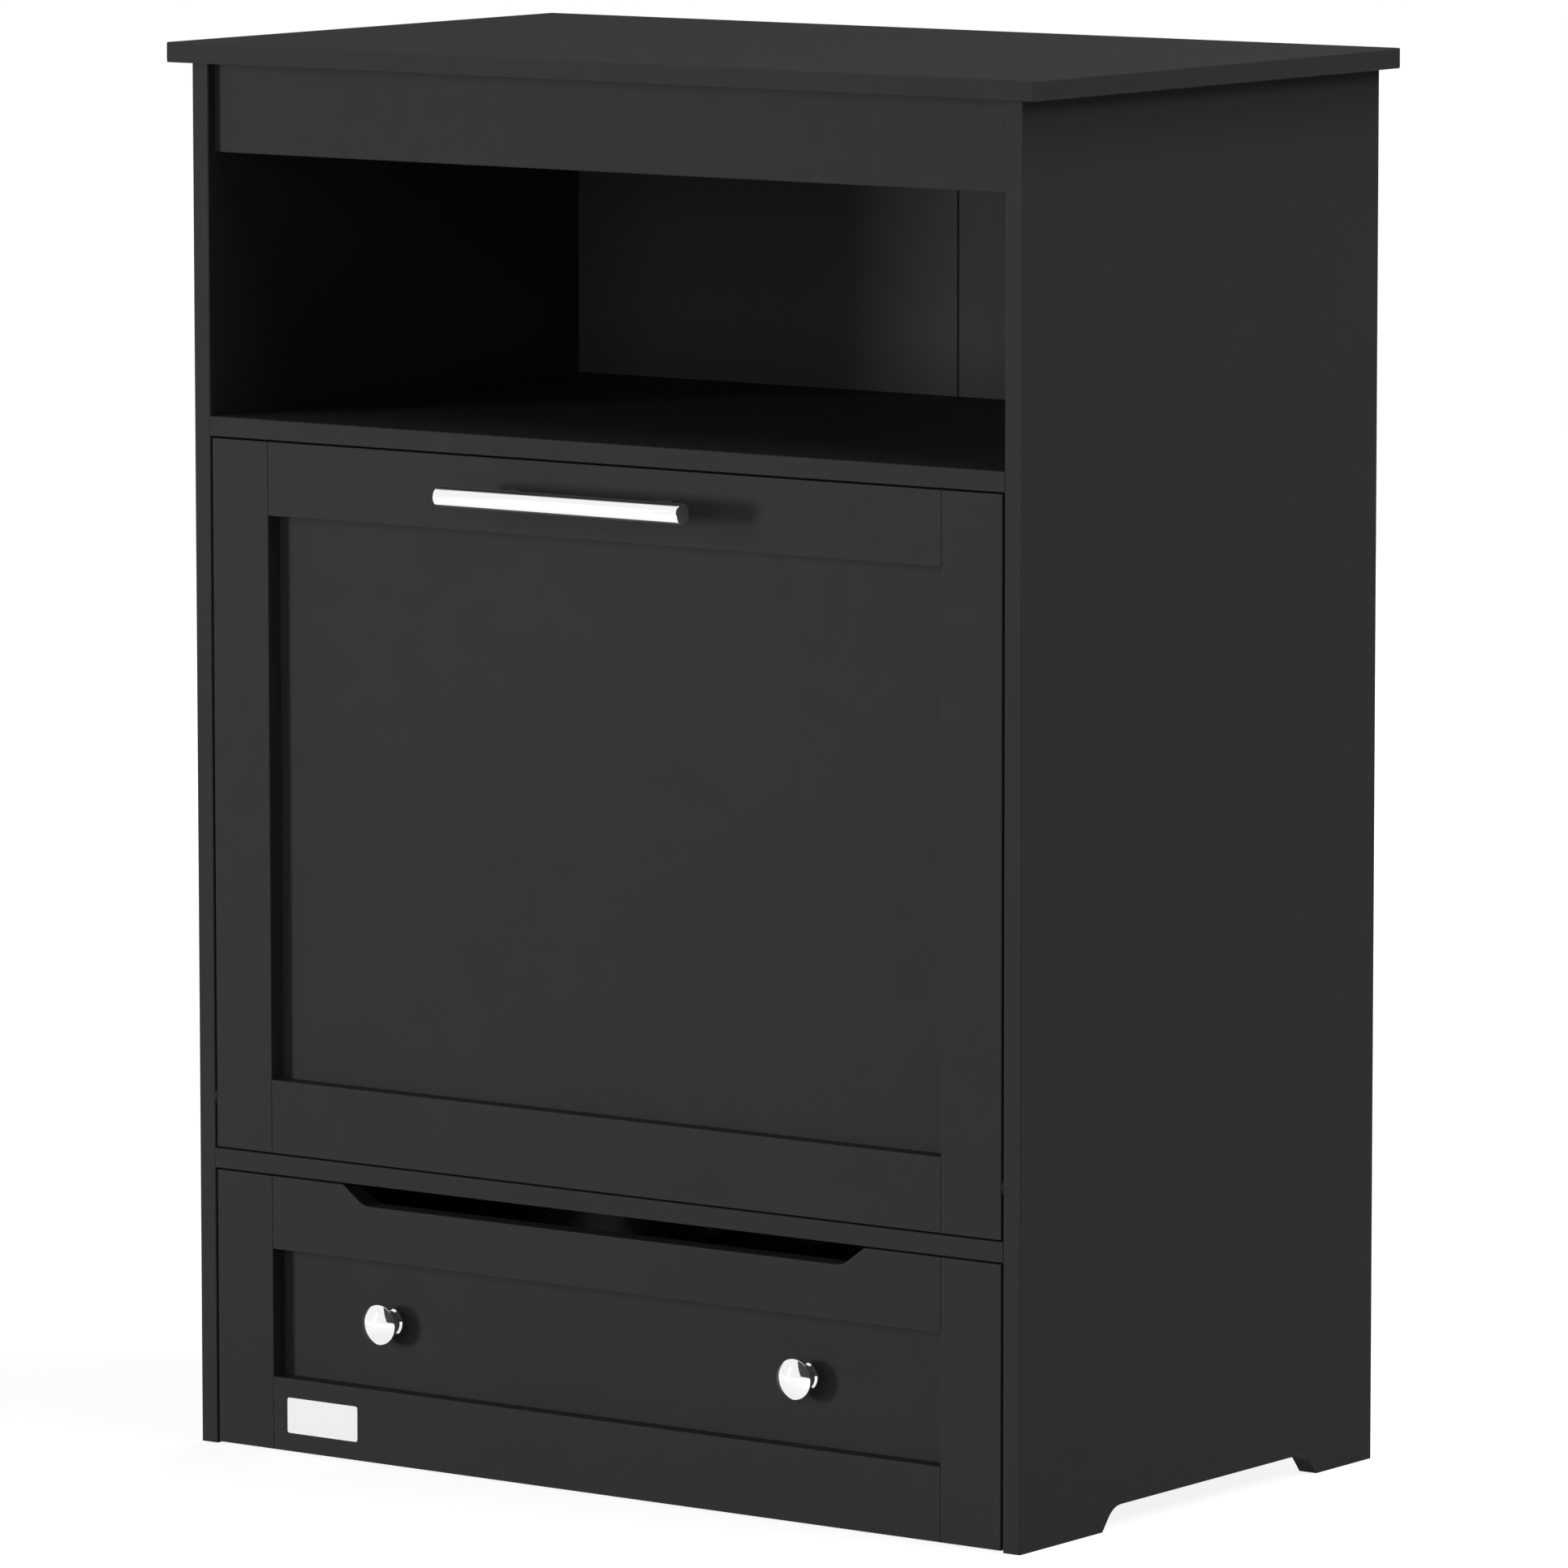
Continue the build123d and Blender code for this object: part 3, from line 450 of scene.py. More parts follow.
@dataclass
class Outline:
    """A flat outline that grows by lines and arcs, of points of reach along an axis and radius."""

    points: list[Point]
    arc_steps: int = 10

    def line(self, *ends: Point) -> "Outline":
        """Runs straight to each end in turn."""
        self.points.extend(ends)
        return self

    def arc(self, end: Point, heading: Point) -> "Outline":
        """Runs to an end by the arc that leaves in a heading.

        Args:
            end: The last point of the arc.
            heading: Direction in which the arc leaves the point before it.

        Returns:
            The outline.
        """
        start = Vector(self.points[-1])
        chord = Vector(end) - start
        side = Vector((-heading[1], heading[0])).normalized()
        radius = chord.length_squared / (2 * chord.dot(side))
        centre = start + side * radius
        first = start - centre
        last = Vector(end) - centre
        sweep = math.atan2(first.x * last.y - first.y * last.x, first.dot(last))
        if sweep * radius < 0:
            sweep += math.copysign(2 * math.pi, radius)
        for step in range(1, self.arc_steps + 1):
            turned = turn_about(tuple(first), sweep * step / self.arc_steps)
            self.points.append((centre.x + turned[0], centre.y + turned[1]))
        return self


@dataclass(frozen=True)
class Cross:
    """A cross-shaped recess for a driver."""

    arm: float
    width: float
    depth: float
    taper: float = 0.62

    def corners(self) -> list[Point]:
        """The twelve corners of the cross, in order."""
        quarter = [(self.arm, self.width), (self.width, self.width), (self.width, self.arm)]
        return [turn_about(end, turn * math.pi / 2) for turn in range(4) for end in quarter]


@dataclass(frozen=True)
class Piece:
    """What a new piece is called, is finished in, rides on and stands for."""

    name: str
    finish: Finish
    body: Body
    slot: Slot | None = None
    replaced: tuple[str, ...] = ()
    sharp_angle: float = 32.0


class Shape:
    """A mesh under construction, to which turned, pressed and flat forms are added."""

    def __init__(self) -> None:
        """Starts an empty mesh."""
        self.mesh = bmesh.new()

    def ring(self, where: Matrix, reach: float, radius: float, count: int) -> Loop:
        """Adds one ring of a turned form.

        Args:
            where: Matrix whose Z is the axis.
            reach: Place of the ring along the axis.
            radius: Radius of the ring, or nought for a single point.
            count: Number of points round the axis.

        Returns:
            The ring's points.
        """
        if radius < POINT_RADIUS:
            return [self.mesh.verts.new(where @ Vector((0, 0, reach)))]
        turns = (2 * math.pi * step / count for step in range(count))
        return [
            self.mesh.verts.new(where @ Vector((radius * math.cos(t), radius * math.sin(t), reach)))
            for t in turns
        ]

    def bridge(self, first: Loop, second: Loop) -> None:
        """Joins two rings, either of which may be a single point.

        Args:
            first: Points of the first ring.
            second: Points of the second ring.
        """
        count = max(len(first), len(second))
        for step in range(count):
            after = (step + 1) % count
            corners = [first[step % len(first)], first[after % len(first)]]
            corners += [second[after % len(second)], second[step % len(second)]]
            self.mesh.faces.new(list(dict.fromkeys(corners)))

    def turn(self, outline: Outline, where: Matrix, count: int) -> Loop:
        """Turns an outline about an axis.

        Args:
            outline: Points of reach and radius.
            where: Matrix whose Z is the axis.
            count: Number of points round the axis.

        Returns:
            The last ring, for a cap.
        """
        rings = [self.ring(where, reach, radius, count) for reach, radius in outline.points]
        for first, second in zip(rings, rings[1:]):
            self.bridge(first, second)
        return rings[-1]

    def cross_cap(self, rim: Loop, where: Matrix, reach: float, cross: Cross) -> None:
        """Closes a ring with a flat face that has a cross-shaped recess.

        Args:
            rim: The ring to be closed.
            where: Matrix whose Z is the axis.
            reach: Place of the face along the axis.
            cross: Sizes of the recess.
        """
        corners, narrow, low = cross.corners(), cross.taper, reach - cross.depth
        mouth = [self.mesh.verts.new(where @ Vector((x, y, reach))) for x, y in corners]
        floor = [
            self.mesh.verts.new(where @ Vector((x * narrow, y * narrow, low))) for x, y in corners
        ]
        edges = []
        for loop in (rim, mouth):
            for pair in zip(loop, loop[1:] + loop[:1]):
                edges.append(self.mesh.edges.get(pair) or self.mesh.edges.new(pair))
        bmesh.ops.triangle_fill(self.mesh, edges=edges, use_beauty=True)
        self.bridge(mouth, floor)
        self.mesh.faces.new(floor)

    def slab(self, outline: Sequence[Point], where: Matrix, depth: float, bevel: float) -> None:
        """Raises a flat outline into a slab whose upper edge is bevelled.

        Args:
            outline: Points of the outline, in order.
            where: Matrix whose Z leaves the slab's upper face.
            depth: Thickness of the slab.
            bevel: Size of the bevel.
        """
        middle = sum((Vector(point) for point in outline), Vector((0, 0))) / len(outline)
        loops = []
        for height, inset in ((0.0, 0.0), (depth - bevel, 0.0), (depth, bevel)):
            loop = []
            for point in outline:
                away = Vector(point) - middle
                x, y = Vector(point) - away.normalized() * inset
                loop.append(self.mesh.verts.new(where @ Vector((x, y, height))))
            loops.append(loop)
        for first, second in zip(loops, loops[1:]):
            self.bridge(first, second)
        self.mesh.faces.new(loops[-1])
        self.mesh.faces.new(list(reversed(loops[0])))

    def finish(self, piece: Piece) -> None:
        """Turns the mesh into a piece of the cabinet.

        Args:
            piece: The piece's name, finish, body, slot and replaced nodes.
        """
        bmesh.ops.recalc_face_normals(self.mesh, faces=self.mesh.faces)
        data = bpy.data.meshes.new(piece.name)
        self.mesh.to_mesh(data)
        self.mesh.free()
        for polygon in data.polygons:
            polygon.use_smooth = True
        data.set_sharp_from_angle(angle=math.radians(piece.sharp_angle))
        data.materials.append(piece.finish.material())
        made = bpy.data.objects.new(piece.name, data)
        bpy.context.scene.collection.objects.link(made)
        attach(made, piece.body.value)
        if piece.replaced:
            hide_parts(*piece.replaced)
        log.info("made %s, riding on %s", piece.name, piece.body.value)


def dress(finish: Finish, nodes: Iterable[str]) -> None:
    """Gives carried-over nodes their finish.

    Args:
        finish: The finish.
        nodes: Names of the nodes.
    """
    for name in nodes:
        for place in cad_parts[name].material_slots:
            place.material = finish.material()
        log.info("dressed %s in %s", name, finish.name)


def mid(box: Box, **given: float) -> Vector:
    """Middle of a box.

    Args:
        box: Lowest and highest corner of the box.
        given: Coordinates that take the place of the middle's, by the name of their axis.

    Returns:
        The point.
    """
    middle = (box[0] + box[1]) / 2
    for axis, value in given.items():
        setattr(middle, axis, value)
    return middle


@dataclass
class Screw:
    """A screw with a low round head and a cross recess."""

    shank_radius: float = 2.0 * MM
    head_radius: float = 4.0 * MM
    head_height: float = 2.2 * MM
    edge_share: float = 0.15
    crown_share: float = 0.62
    sides: int = 36
    arc_steps: int = 8
    cross: Cross = Cross(2.1 * MM, 0.5 * MM, 1.2 * MM)

    def add(self, shape: Shape, seat: Vector, facing: Facing, length: float) -> None:
        """Adds one screw to a shape.

        Args:
            shape: The shape that the screw is added to.
            seat: Point under the middle of the head.
            facing: Way that the head faces.
            length: Length of the shank under the head.
        """
        where = facing.at(seat)
        outline = Outline([(-length, 0.0), (-length, self.shank_radius)], self.arc_steps)
        outline.line((0.0, self.shank_radius), (0.0, self.head_radius))
        outline.line((self.edge_share * self.head_height, self.head_radius))
        outline.arc((self.head_height, self.head_radius * self.crown_share), (1.0, 0.0))
        rim = shape.turn(outline, where, self.sides)
        shape.cross_cap(rim, where, self.head_height, self.cross)


@dataclass
class FlatScrew:
    """A flat screw head that stands just proud of the sheet it holds."""

    radius: float = 3.2 * MM
    bevel: float = 0.15 * MM
    sink: float = 0.2 * MM
    sides: int = 32
    cross: Cross = Cross(1.8 * MM, 0.4 * MM, 0.2 * MM)

    def add(self, shape: Shape, seat: Vector, facing: Facing, proud: float) -> None:
        """Adds one head to a shape.

        Args:
            shape: The shape that the head is added to.
            seat: Point on the sheet under the middle of the head.
            facing: Way that the head faces.
            proud: Height of the head over the sheet.
        """
        where = facing.at(seat)
        outline = Outline([(-self.sink, self.radius), (proud - self.bevel, self.radius)])
        outline.line((proud, self.radius - self.bevel))
        shape.cross_cap(shape.turn(outline, where, self.sides), where, proud, self.cross)


@dataclass
class Nail:
    """A small nail with a domed head."""

    radius: float = 2.2 * MM
    height: float = 0.7 * MM
    edge: float = 0.1 * MM
    sink: float = 0.2 * MM
    crown_heading: Point = (1.0, -0.25)
    sides: int = 20
    arc_steps: int = 5

    def add(self, shape: Shape, seat: Vector, facing: Facing) -> None:
        """Adds one nail head to a shape.

        Args:
            shape: The shape that the head is added to.
            seat: Point on the sheet under the middle of the head.
            facing: Way that the head faces.
        """
        edge = [(-self.sink, self.radius), (self.edge, self.radius)]
        outline = Outline(edge, self.arc_steps).arc((self.height, 0.0), self.crown_heading)
        shape.turn(outline, facing.at(seat), self.sides)


@dataclass
class CamFace:
    """A round cam with a raised rim and a cross recess; its shares are of the rim's sizes."""

    rim: float = 0.7 * MM
    rim_height: float = 0.15 * MM
    edge_share: float = 0.5
    outer_share: float = 0.3
    inner_share: float = 0.2
    sides: int = 40
    cross: Cross = Cross(3.4 * MM, 0.65 * MM, 2.4 * MM)

    def add(
        self, shape: Shape, centre: Vector, facing: Facing, radius: float, depth: float
    ) -> None:
        """Adds one cam to a shape.

        Args:
            shape: The shape that the cam is added to.
            centre: Middle of the cam's face, flush with the board.
            facing: Way that the face looks.
            radius: Radius of the cam.
            depth: Depth of the cam's body.
        """
        where = facing.at(centre)
        inner = radius - self.rim
        outline = Outline([(-depth, 0.0), (-depth, radius)])
        outline.line((self.edge_share * self.rim_height, radius))
        outline.line((self.rim_height, radius - self.outer_share * self.rim))
        outline.line((self.rim_height, inner), (0.0, inner - self.inner_share * self.rim))
        shape.cross_cap(shape.turn(outline, where, self.sides), where, 0.0, self.cross)


def solid_boxes(node: str) -> list[Box]:
    """Boxes of the separate solids of one node, found by walking its faces.

    Args:
        node: Name of the node.

    Returns:
        The lowest and highest corner of each solid, ordered by place.
    """
    shape = bmesh.new()
    shape.from_mesh(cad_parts[node].data)
    bmesh.ops.remove_doubles(shape, verts=shape.verts, dist=WELD)
    left = set(shape.verts)
    boxes = []
    while left:
        stack = [left.pop()]
        found = []
        while stack:
            vertex = stack.pop()
            found.append(vertex.co.copy())
            for edge in vertex.link_edges:
                other = edge.other_vert(vertex)
                if other in left:
                    left.remove(other)
                    stack.append(other)
        low, high = (
            Vector([end(point[axis] for point in found) for axis in range(3)])
            for end in (min, max)
        )
        boxes.append((low, high))
    shape.free()
    return sorted(boxes, key=lambda box: tuple(box[0]))


def cam_facing(low: Vector, high: Vector, outward: bool) -> Facing:
    """Way that a cam's face looks, found from its box.

    Args:
        low: Lowest corner of the cam.
        high: Highest corner of the cam.
        outward: Whether cams in upright side boards face away from the cabinet's middle.

    Returns:
        The way.
    """
    size = high - low
    if size.z == min(size):
        return Facing.DOWN
    if size.y == min(size):
        return Facing.BACK
    on_right = low.x + high.x > 0
    return Facing.RIGHT if on_right == outward else Facing.LEFT


def add_cams(node: str, name: str, body: Body, outward: bool = False) -> None:
    """Makes finely shaped cams in place of a node's plain ones.

    Args:
        node: The node of the plain cams.
        name: Name of the new piece.
        body: Body that the cams ride on.
        outward: Whether cams in upright side boards face away from the cabinet's middle.
    """
    shape = Shape()
    for low, high in solid_boxes(node):
        facing = cam_facing(low, high, outward)
        size = high - low
        depth = min(size)
        centre = mid((low, high)) + Vector(facing.value) * depth / 2
        CamFace().add(shape, centre, facing, max(size) / 2, depth)
    shape.finish(Piece(name, ZINC, body, Slot.ZINC, (node,)))


def add_back_screws(node: str, name: str, board: str, body: Body) -> None:
    """Makes finely shaped screws in place of a node's plain ones.

    Args:
        node: The node of the plain screws, driven forward from behind.
        name: Name of the new piece.
        board: Node of the board whose back the heads sit on.
        body: Body that the screws ride on.
    """
    shape = Shape()
    seat_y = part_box(board)[1].y
    for box in solid_boxes(node):
        Screw().add(shape, mid(box, y=seat_y), Facing.BACK, seat_y - box[0].y)
    shape.finish(Piece(name, ZINC, body, Slot.ZINC, (node,)))


@dataclass
class Carcass:
    """The fixed case: boards, back, stop rail, catch and their fixings."""

    boards: tuple[str, ...] = (
        "top_panel", "left_side_panel", "right_side_panel", "front_apron", "upper_shelf",
        "lower_divider", "rear_rail", "stop_rail",
    )
    backs: tuple[str, ...] = ("back_panel_left", "back_panel_right")
    nailed_boards: tuple[str, ...] = ("upper_shelf", "lower_divider")
    nail: Nail = field(default_factory=Nail)
    nail_inset: float = 6.0 * MM
    nail_pitch: float = 95.0 * MM
    magnet_proud: float = 1.2 * MM
    steel_share: float = 0.9

    def nail_spots(self) -> list[Vector]:
        """Places of the nails: along the top and foot of the back, and along two boards.

        Returns:
            The points on the back, row by row.
        """
        low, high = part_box("back_panel_left")[0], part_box("back_panel_right")[1]
        left, right = low.x + self.nail_inset, high.x - self.nail_inset
        rows = [high.z - self.nail_inset, low.z + self.nail_inset]
        rows += [mid(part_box(board)).z for board in self.nailed_boards]
        across = max(2, round((right - left) / self.nail_pitch))
        places = [left + (right - left) * step / across for step in range(across + 1)]
        return [Vector((x, high.y, z)) for z in rows for x in places]

    def nails(self) -> None:
        """Small domed nails that hold the back sheets."""
        shape = Shape()
        for spot in self.nail_spots():
            self.nail.add(shape, spot, Facing.BACK)
        shape.finish(Piece("back_nails", ZINC, Body.CARCASS, Slot.ZINC))

    def catch_finish(self) -> MagnetCase:
        """The finish of the catch, whose magnets stand proud of its case."""
        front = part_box("magnetic_catch")[0].y + self.steel_share * self.magnet_proud
        return MagnetCase(
            "catch_case", BLACK_PLASTIC.colour, 0.45, specular=0.3, relief_scale=3000,
            edge_radius=0.3 * MM, case_front=front,
        )

    def build(self) -> None:
        """Dresses the case and adds its fixings."""
        dress(LACQUER, self.boards)
        dress(BACK_SHEET, self.backs)
        dress(self.catch_finish(), ("magnetic_catch",))
        dress(RUBBER, ("bumper_pads",))
        dress(BLACK_PLASTIC, ("pivot_bushes",))
        dress(ZINC, ("carcass_bolts",))
        add_cams("carcass_cams", "case_cams", Body.CARCASS)
        self.nails()


@dataclass
class TiltBin:
    """The tilting front with its handle, and the food bin behind it."""

    front: tuple[str, ...] = (
        "bin_front_left_stile", "bin_front_right_stile", "bin_front_top_rail",
        "bin_front_bottom_rail", "bin_front_panel",
    )
    box: tuple[str, ...] = ("bin_left_side", "bin_right_side", "bin_rear_panel", "bin_bottom_panel")
    bar_rounding: float = 0.7 * MM
    bar_sides: int = 96
    bar_arc_steps: int = 6
    post_rounding: float = 0.3 * MM
    post_sides: int = 48
    post_arc_steps: int = 4
    strike_screw_proud: float = 0.5 * MM

    def bar(self) -> None:
        """The chromed bar, with finely rounded ends."""
        low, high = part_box("handle_bar")
        radius, length, small = (high.z - low.z) / 2, high.x - low.x, self.bar_rounding
        outline = Outline([(0.0, 0.0), (0.0, radius - small)], self.bar_arc_steps)
        outline.arc((small, radius), (0.0, 1.0)).line((length - small, radius))
        outline.arc((length, radius - small), (1.0, 0.0)).line((length, 0.0))
        shape = Shape()
        shape.turn(outline, Facing.RIGHT.at(mid((low, high), x=low.x)), self.bar_sides)
        shape.finish(Piece("chrome_bar", CHROME, Body.BIN, Slot.CHROME, ("handle_bar",)))

    def posts(self) -> None:
        """The posts of the handle, turned with a small rounding at the foot."""
        shape = Shape()
        for low, high in solid_boxes("handle_posts"):
            radius, length, small = (high.x - low.x) / 2, high.y - low.y, self.post_rounding
            outline = Outline([(0.0, 0.0), (0.0, radius - small)], self.post_arc_steps)
            outline.arc((small, radius), (0.0, 1.0)).line((length, radius), (length, 0.0))
            shape.turn(outline, Facing.FRONT.at(mid((low, high), y=high.y)), self.post_sides)
        shape.finish(Piece("chrome_posts", CHROME, Body.BIN, Slot.CHROME, ("handle_posts",)))

    def strike_screw(self) -> None:
        """The screw in the middle of the catch's strike plate."""
        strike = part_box("catch_strike")
        shape = Shape()
        seat = mid(strike, y=strike[1].y)
        FlatScrew().add(shape, seat, Facing.BACK, self.strike_screw_proud)
        shape.finish(Piece("strike_screw", ZINC, Body.BIN, Slot.ZINC))

    def build(self) -> None:
        """Dresses the front and the bin, and makes the handle."""
        dress(DOOR_LACQUER, self.front)
        dress(LACQUER, self.box)
        dress(ZINC, ("bin_bolts", "pivot_pins", "catch_strike"))
        add_cams("bin_cams", "box_cams", Body.BIN, outward=True)
        self.bar()
        self.posts()
        add_back_screws("handle_screws", "handle_rail_screws", "bin_front_top_rail", Body.BIN)
        self.strike_screw()


@dataclass
class Knob:
    """Sizes of a mushroom knob, turned about an axis square to the drawer front."""

    base_radius: float = 8.5 * MM
    base_thickness: float = 2.2 * MM
    base_bevel: float = 1.1 * MM
    neck_radius: float = 5.2 * MM
    neck_reach: float = 8.6 * MM
    head_slope: float = 1.9 * MM
    head_rounding: float = 1.7 * MM
    undercut_share: float = 0.25
    rim_rounding: float = 0.9 * MM
    rim_share: float = 0.63
    crown_radius: float = 19.0 * MM
    sides: int = 96
    arc_steps: int = 8

    def outline(self, head_radius: float, length: float) -> Outline:
        """The knob's half section, from its base to the middle of its crown.

        Args:
            head_radius: Radius of the head.
            length: Reach that the knob has as a plain solid.

        Returns:
            The outline.
        """
        drop = head_radius - self.rim_rounding
        turned = math.asin(drop / (self.crown_radius - self.rim_rounding))
        cos, sin = math.cos(turned), math.sin(turned)
        widest = self.rim_share * length
        shoulder_end = (widest + self.rim_rounding * cos, drop + self.rim_rounding * sin)
        tip = shoulder_end[0] + self.crown_radius * (1 - cos)
        back, under = self.neck_reach + self.head_slope, self.head_rounding
        outline = Outline([(0.0, 0.0), (0.0, self.base_radius)], self.arc_steps)
        outline.line((self.base_thickness - self.base_bevel, self.base_radius))
        outline.line((self.base_thickness, self.base_radius - self.base_bevel))
        outline.arc((self.neck_reach, self.neck_radius), (0.0, -1.0))
        outline.line((back - self.undercut_share * under, head_radius - under))
        slope = (self.head_slope, head_radius - self.neck_radius)
        outline.arc((back + under, head_radius), slope)
        outline.line((widest, head_radius))
        outline.arc(shoulder_end, (1.0, 0.0))
        return outline.arc((tip, 0.0), (sin, -cos))


@dataclass
class Label:
    """The blank white label at the lower left of the drawer front."""

    centre_x: float = -207.2 * MM
    centre_z: float = 22.9 * MM
    width: float = 53.2 * MM
    height: float = 21.4 * MM
    corner: float = 1.5 * MM
    thickness: float = 0.3 * MM
    bevel: float = 0.1 * MM
    corner_steps: int = 6

    def outline(self) -> list[Point]:
        """The rounded rectangle of the label.

        Returns:
            Its points, in order.
        """
        points = []
        half_x, half_y = self.width / 2 - self.corner, self.height / 2 - self.corner
        middles = ((half_x, half_y), (-half_x, half_y), (-half_x, -half_y), (half_x, -half_y))
        for quarter, (x, y) in enumerate(middles):
            for step in range(self.corner_steps + 1):
                turn = math.pi / 2 * (quarter + step / self.corner_steps)
                points.append((x + self.corner * math.cos(turn), y + self.corner * math.sin(turn)))
        return points

    def build(self) -> None:
        """Makes the label on the face of the drawer's lower rail."""
        face_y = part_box("drawer_front_bottom_rail")[0].y
        where = Facing.FRONT.at(Vector((self.centre_x, face_y, self.centre_z)))
        shape = Shape()
        shape.slab(self.outline(), where, self.thickness, self.bevel)
        shape.finish(Piece("blank_label", LABEL_FILM, Body.DRAWER))


@dataclass
class FeedingDrawer:
    """The drawer with its knobs, label and bowl board."""

    front: tuple[str, ...] = (
        "drawer_front_left_stile", "drawer_front_right_stile", "drawer_front_top_rail",
        "drawer_front_bottom_rail", "drawer_front_panel",
    )
    box: tuple[str, ...] = ("drawer_left_side", "drawer_right_side", "drawer_back", "bowl_board")
    knob: Knob = field(default_factory=Knob)
    label: Label = field(default_factory=Label)

    def knobs(self) -> None:
        """Both chromed knobs."""
        for side in Side:
            node = f"{side.value}_knob"
            low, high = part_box(node)
            outline = self.knob.outline((high.z - low.z) / 2, high.y - low.y)
            shape = Shape()
            shape.turn(outline, Facing.FRONT.at(mid((low, high), y=high.y)), self.knob.sides)
            shape.finish(Piece(f"chrome_{node}", CHROME, Body.DRAWER, Slot.CHROME, (node,)))

    def build(self) -> None:
        """Dresses the drawer and adds its hardware."""
        dress(DOOR_LACQUER, self.front)
        dress(LACQUER, self.box)
        dress(BACK_SHEET, ("drawer_bottom",))
        dress(ZINC, ("drawer_bolts",))
        add_cams("drawer_cams", "drawer_box_cams", Body.DRAWER)
        self.knobs()
        self.label.build()
        add_back_screws("knob_screws", "knob_panel_screws", "drawer_front_panel", Body.DRAWER)


@dataclass
class Bowls:
    """The two spun steel bowls that hang in the bowl board.

    The places on the bends at the top are in wall thicknesses, and those on the rolled rim are in
    radii of its bead.
    """

    wall: float = 1.0 * MM
    rim_drop: float = 3.0 * MM
    rim_width: float = 8.5 * MM
    taper: float = 16.5 * MM
    base_rounding: float = 12.0 * MM
    bend_drop: float = 2.0
    bend_start: float = 0.4
    bend_end: float = 1.5
    inner_bend_start: float = 1.2
    inner_rounding_loss: float = 0.6
    bead_tuck: float = 1.6
    bead_heading: Point = (-0.2, 1.0)
    sides: int = 128
    arc_steps: int = 10

    def outline(self, rim: float, depth: float) -> Outline:
        """Half section of a bowl: up the outside, over the rolled rim and down the inside.

        Args:
            rim: Radius of the rim.
            depth: Whole height of the bowl.

        Returns:
            The outline.
        """
        wall, bead = self.wall, self.rim_drop / 2
        body = rim - self.rim_width
        base = body - self.taper
        lean = Vector((depth - wall, self.taper)).normalized()
        cut = self.base_rounding * math.tan((math.pi / 2 - math.atan2(self.taper, depth)) / 2)
        inner_cut = cut - self.inner_rounding_loss * wall
        flat = body + self.bend_end * wall
        outline = Outline([(0.0, 0.0), (0.0, base - cut)], self.arc_steps)
        outline.arc((lean.x * cut, base + lean.y * cut), (0.0, 1.0))
        outline.line((depth - wall - self.bend_drop * wall, body - self.bend_start * wall))
        outline.arc((depth - wall, flat), tuple(lean))
        outline.line((depth - wall, rim - 2 * bead))
        outline.line((depth - 2 * bead, rim - self.bead_tuck * bead))
        outline.arc((depth - bead, rim), self.bead_heading)
        outline.arc((depth, rim - bead), (1.0, 0.0)).line((depth, flat))
        inner_top = (depth - self.bend_drop * wall, body - self.inner_bend_start * wall)
        outline.arc(inner_top, (0.0, -1.0))
        outline.line((wall + lean.x * inner_cut, base - wall + lean.y * inner_cut))
        outline.arc((wall, base - wall - inner_cut), (-lean.x, -lean.y))
        return outline.line((wall, 0.0))

    def build(self) -> None:
        """Makes both bowls."""
        for side, body in ((Side.LEFT, Body.LEFT_BOWL), (Side.RIGHT, Body.RIGHT_BOWL)):
            node = f"{side.value}_bowl"
            low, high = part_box(node)
            start = mid((low, high), z=low.z)
            name = f"{side.value}_{BOWL_STEEL.name}"
            finish = replace(BOWL_STEEL, name=name, centre=tuple(start))
            outline = self.outline((high.x - low.x) / 2, high.z - low.z)
            shape = Shape()
            shape.turn(outline, Facing.UP.at(start), self.sides)
            shape.finish(Piece(f"spun_{node}", finish, body, Slot.BOWL, (node,)))


@dataclass
class Runners:
    """The roller runners on both sides of the drawer."""

    screw_shares: tuple[float, ...] = (0.16, 0.5, 0.84)
    screw_proud: float = 0.25 * MM
    sheet: float = 1.2 * MM

    def screws(self, side: Side, member: str, body: Body) -> None:
        """The screws through the upright web of one runner member.

        Args:
            side: Hand of the runner.
            member: "cabinet" or "drawer", the member's part of its node name.
            body: Body that the member rides on.
        """
        low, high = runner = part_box(f"{side.value}_{member}_runner")
        on_right, of_case = side is Side.RIGHT, body is Body.CARCASS
        carrier = runner if of_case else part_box(f"drawer_{side.value}_side")
        facing = Facing.LEFT if on_right == of_case else Facing.RIGHT
        web_x = carrier[int(on_right)].x + facing.value[0] * self.sheet
        height = (carrier[0].z + high.z) / 2
        shape = Shape()
        for share in self.screw_shares:
            seat = Vector((web_x, low.y + share * (high.y - low.y), height))
            FlatScrew().add(shape, seat, facing, self.screw_proud)
        shape.finish(Piece(f"{side.value}_{member}_runner_screws", ZINC, body, Slot.ZINC))

    def build(self) -> None:
        """Dresses the runners and their wheels, and adds their screws."""
        for side in Side:
            dress(EPOXY, (f"{side.value}_cabinet_runner", f"{side.value}_drawer_runner"))
            dress(NYLON, (f"{side.value}_front_roller", f"{side.value}_rear_roller"))
            self.screws(side, "cabinet", Body.CARCASS)
            self.screws(side, "drawer", Body.DRAWER)


def aimed(place: Point3, way: Vector) -> Matrix:
    """Matrix of a lamp or camera that looks along a way from its place."""
    return Matrix.Translation(Vector(place)) @ way.to_track_quat("-Z", "Y").to_matrix().to_4x4()


def level(low: Point, high: Point, height: float) -> tuple[Point3, ...]:
    """Corners of a level card that lies between two corners, seen from above."""
    return (*low, height), (high[0], low[1], height), (*high, height), (low[0], high[1], height)


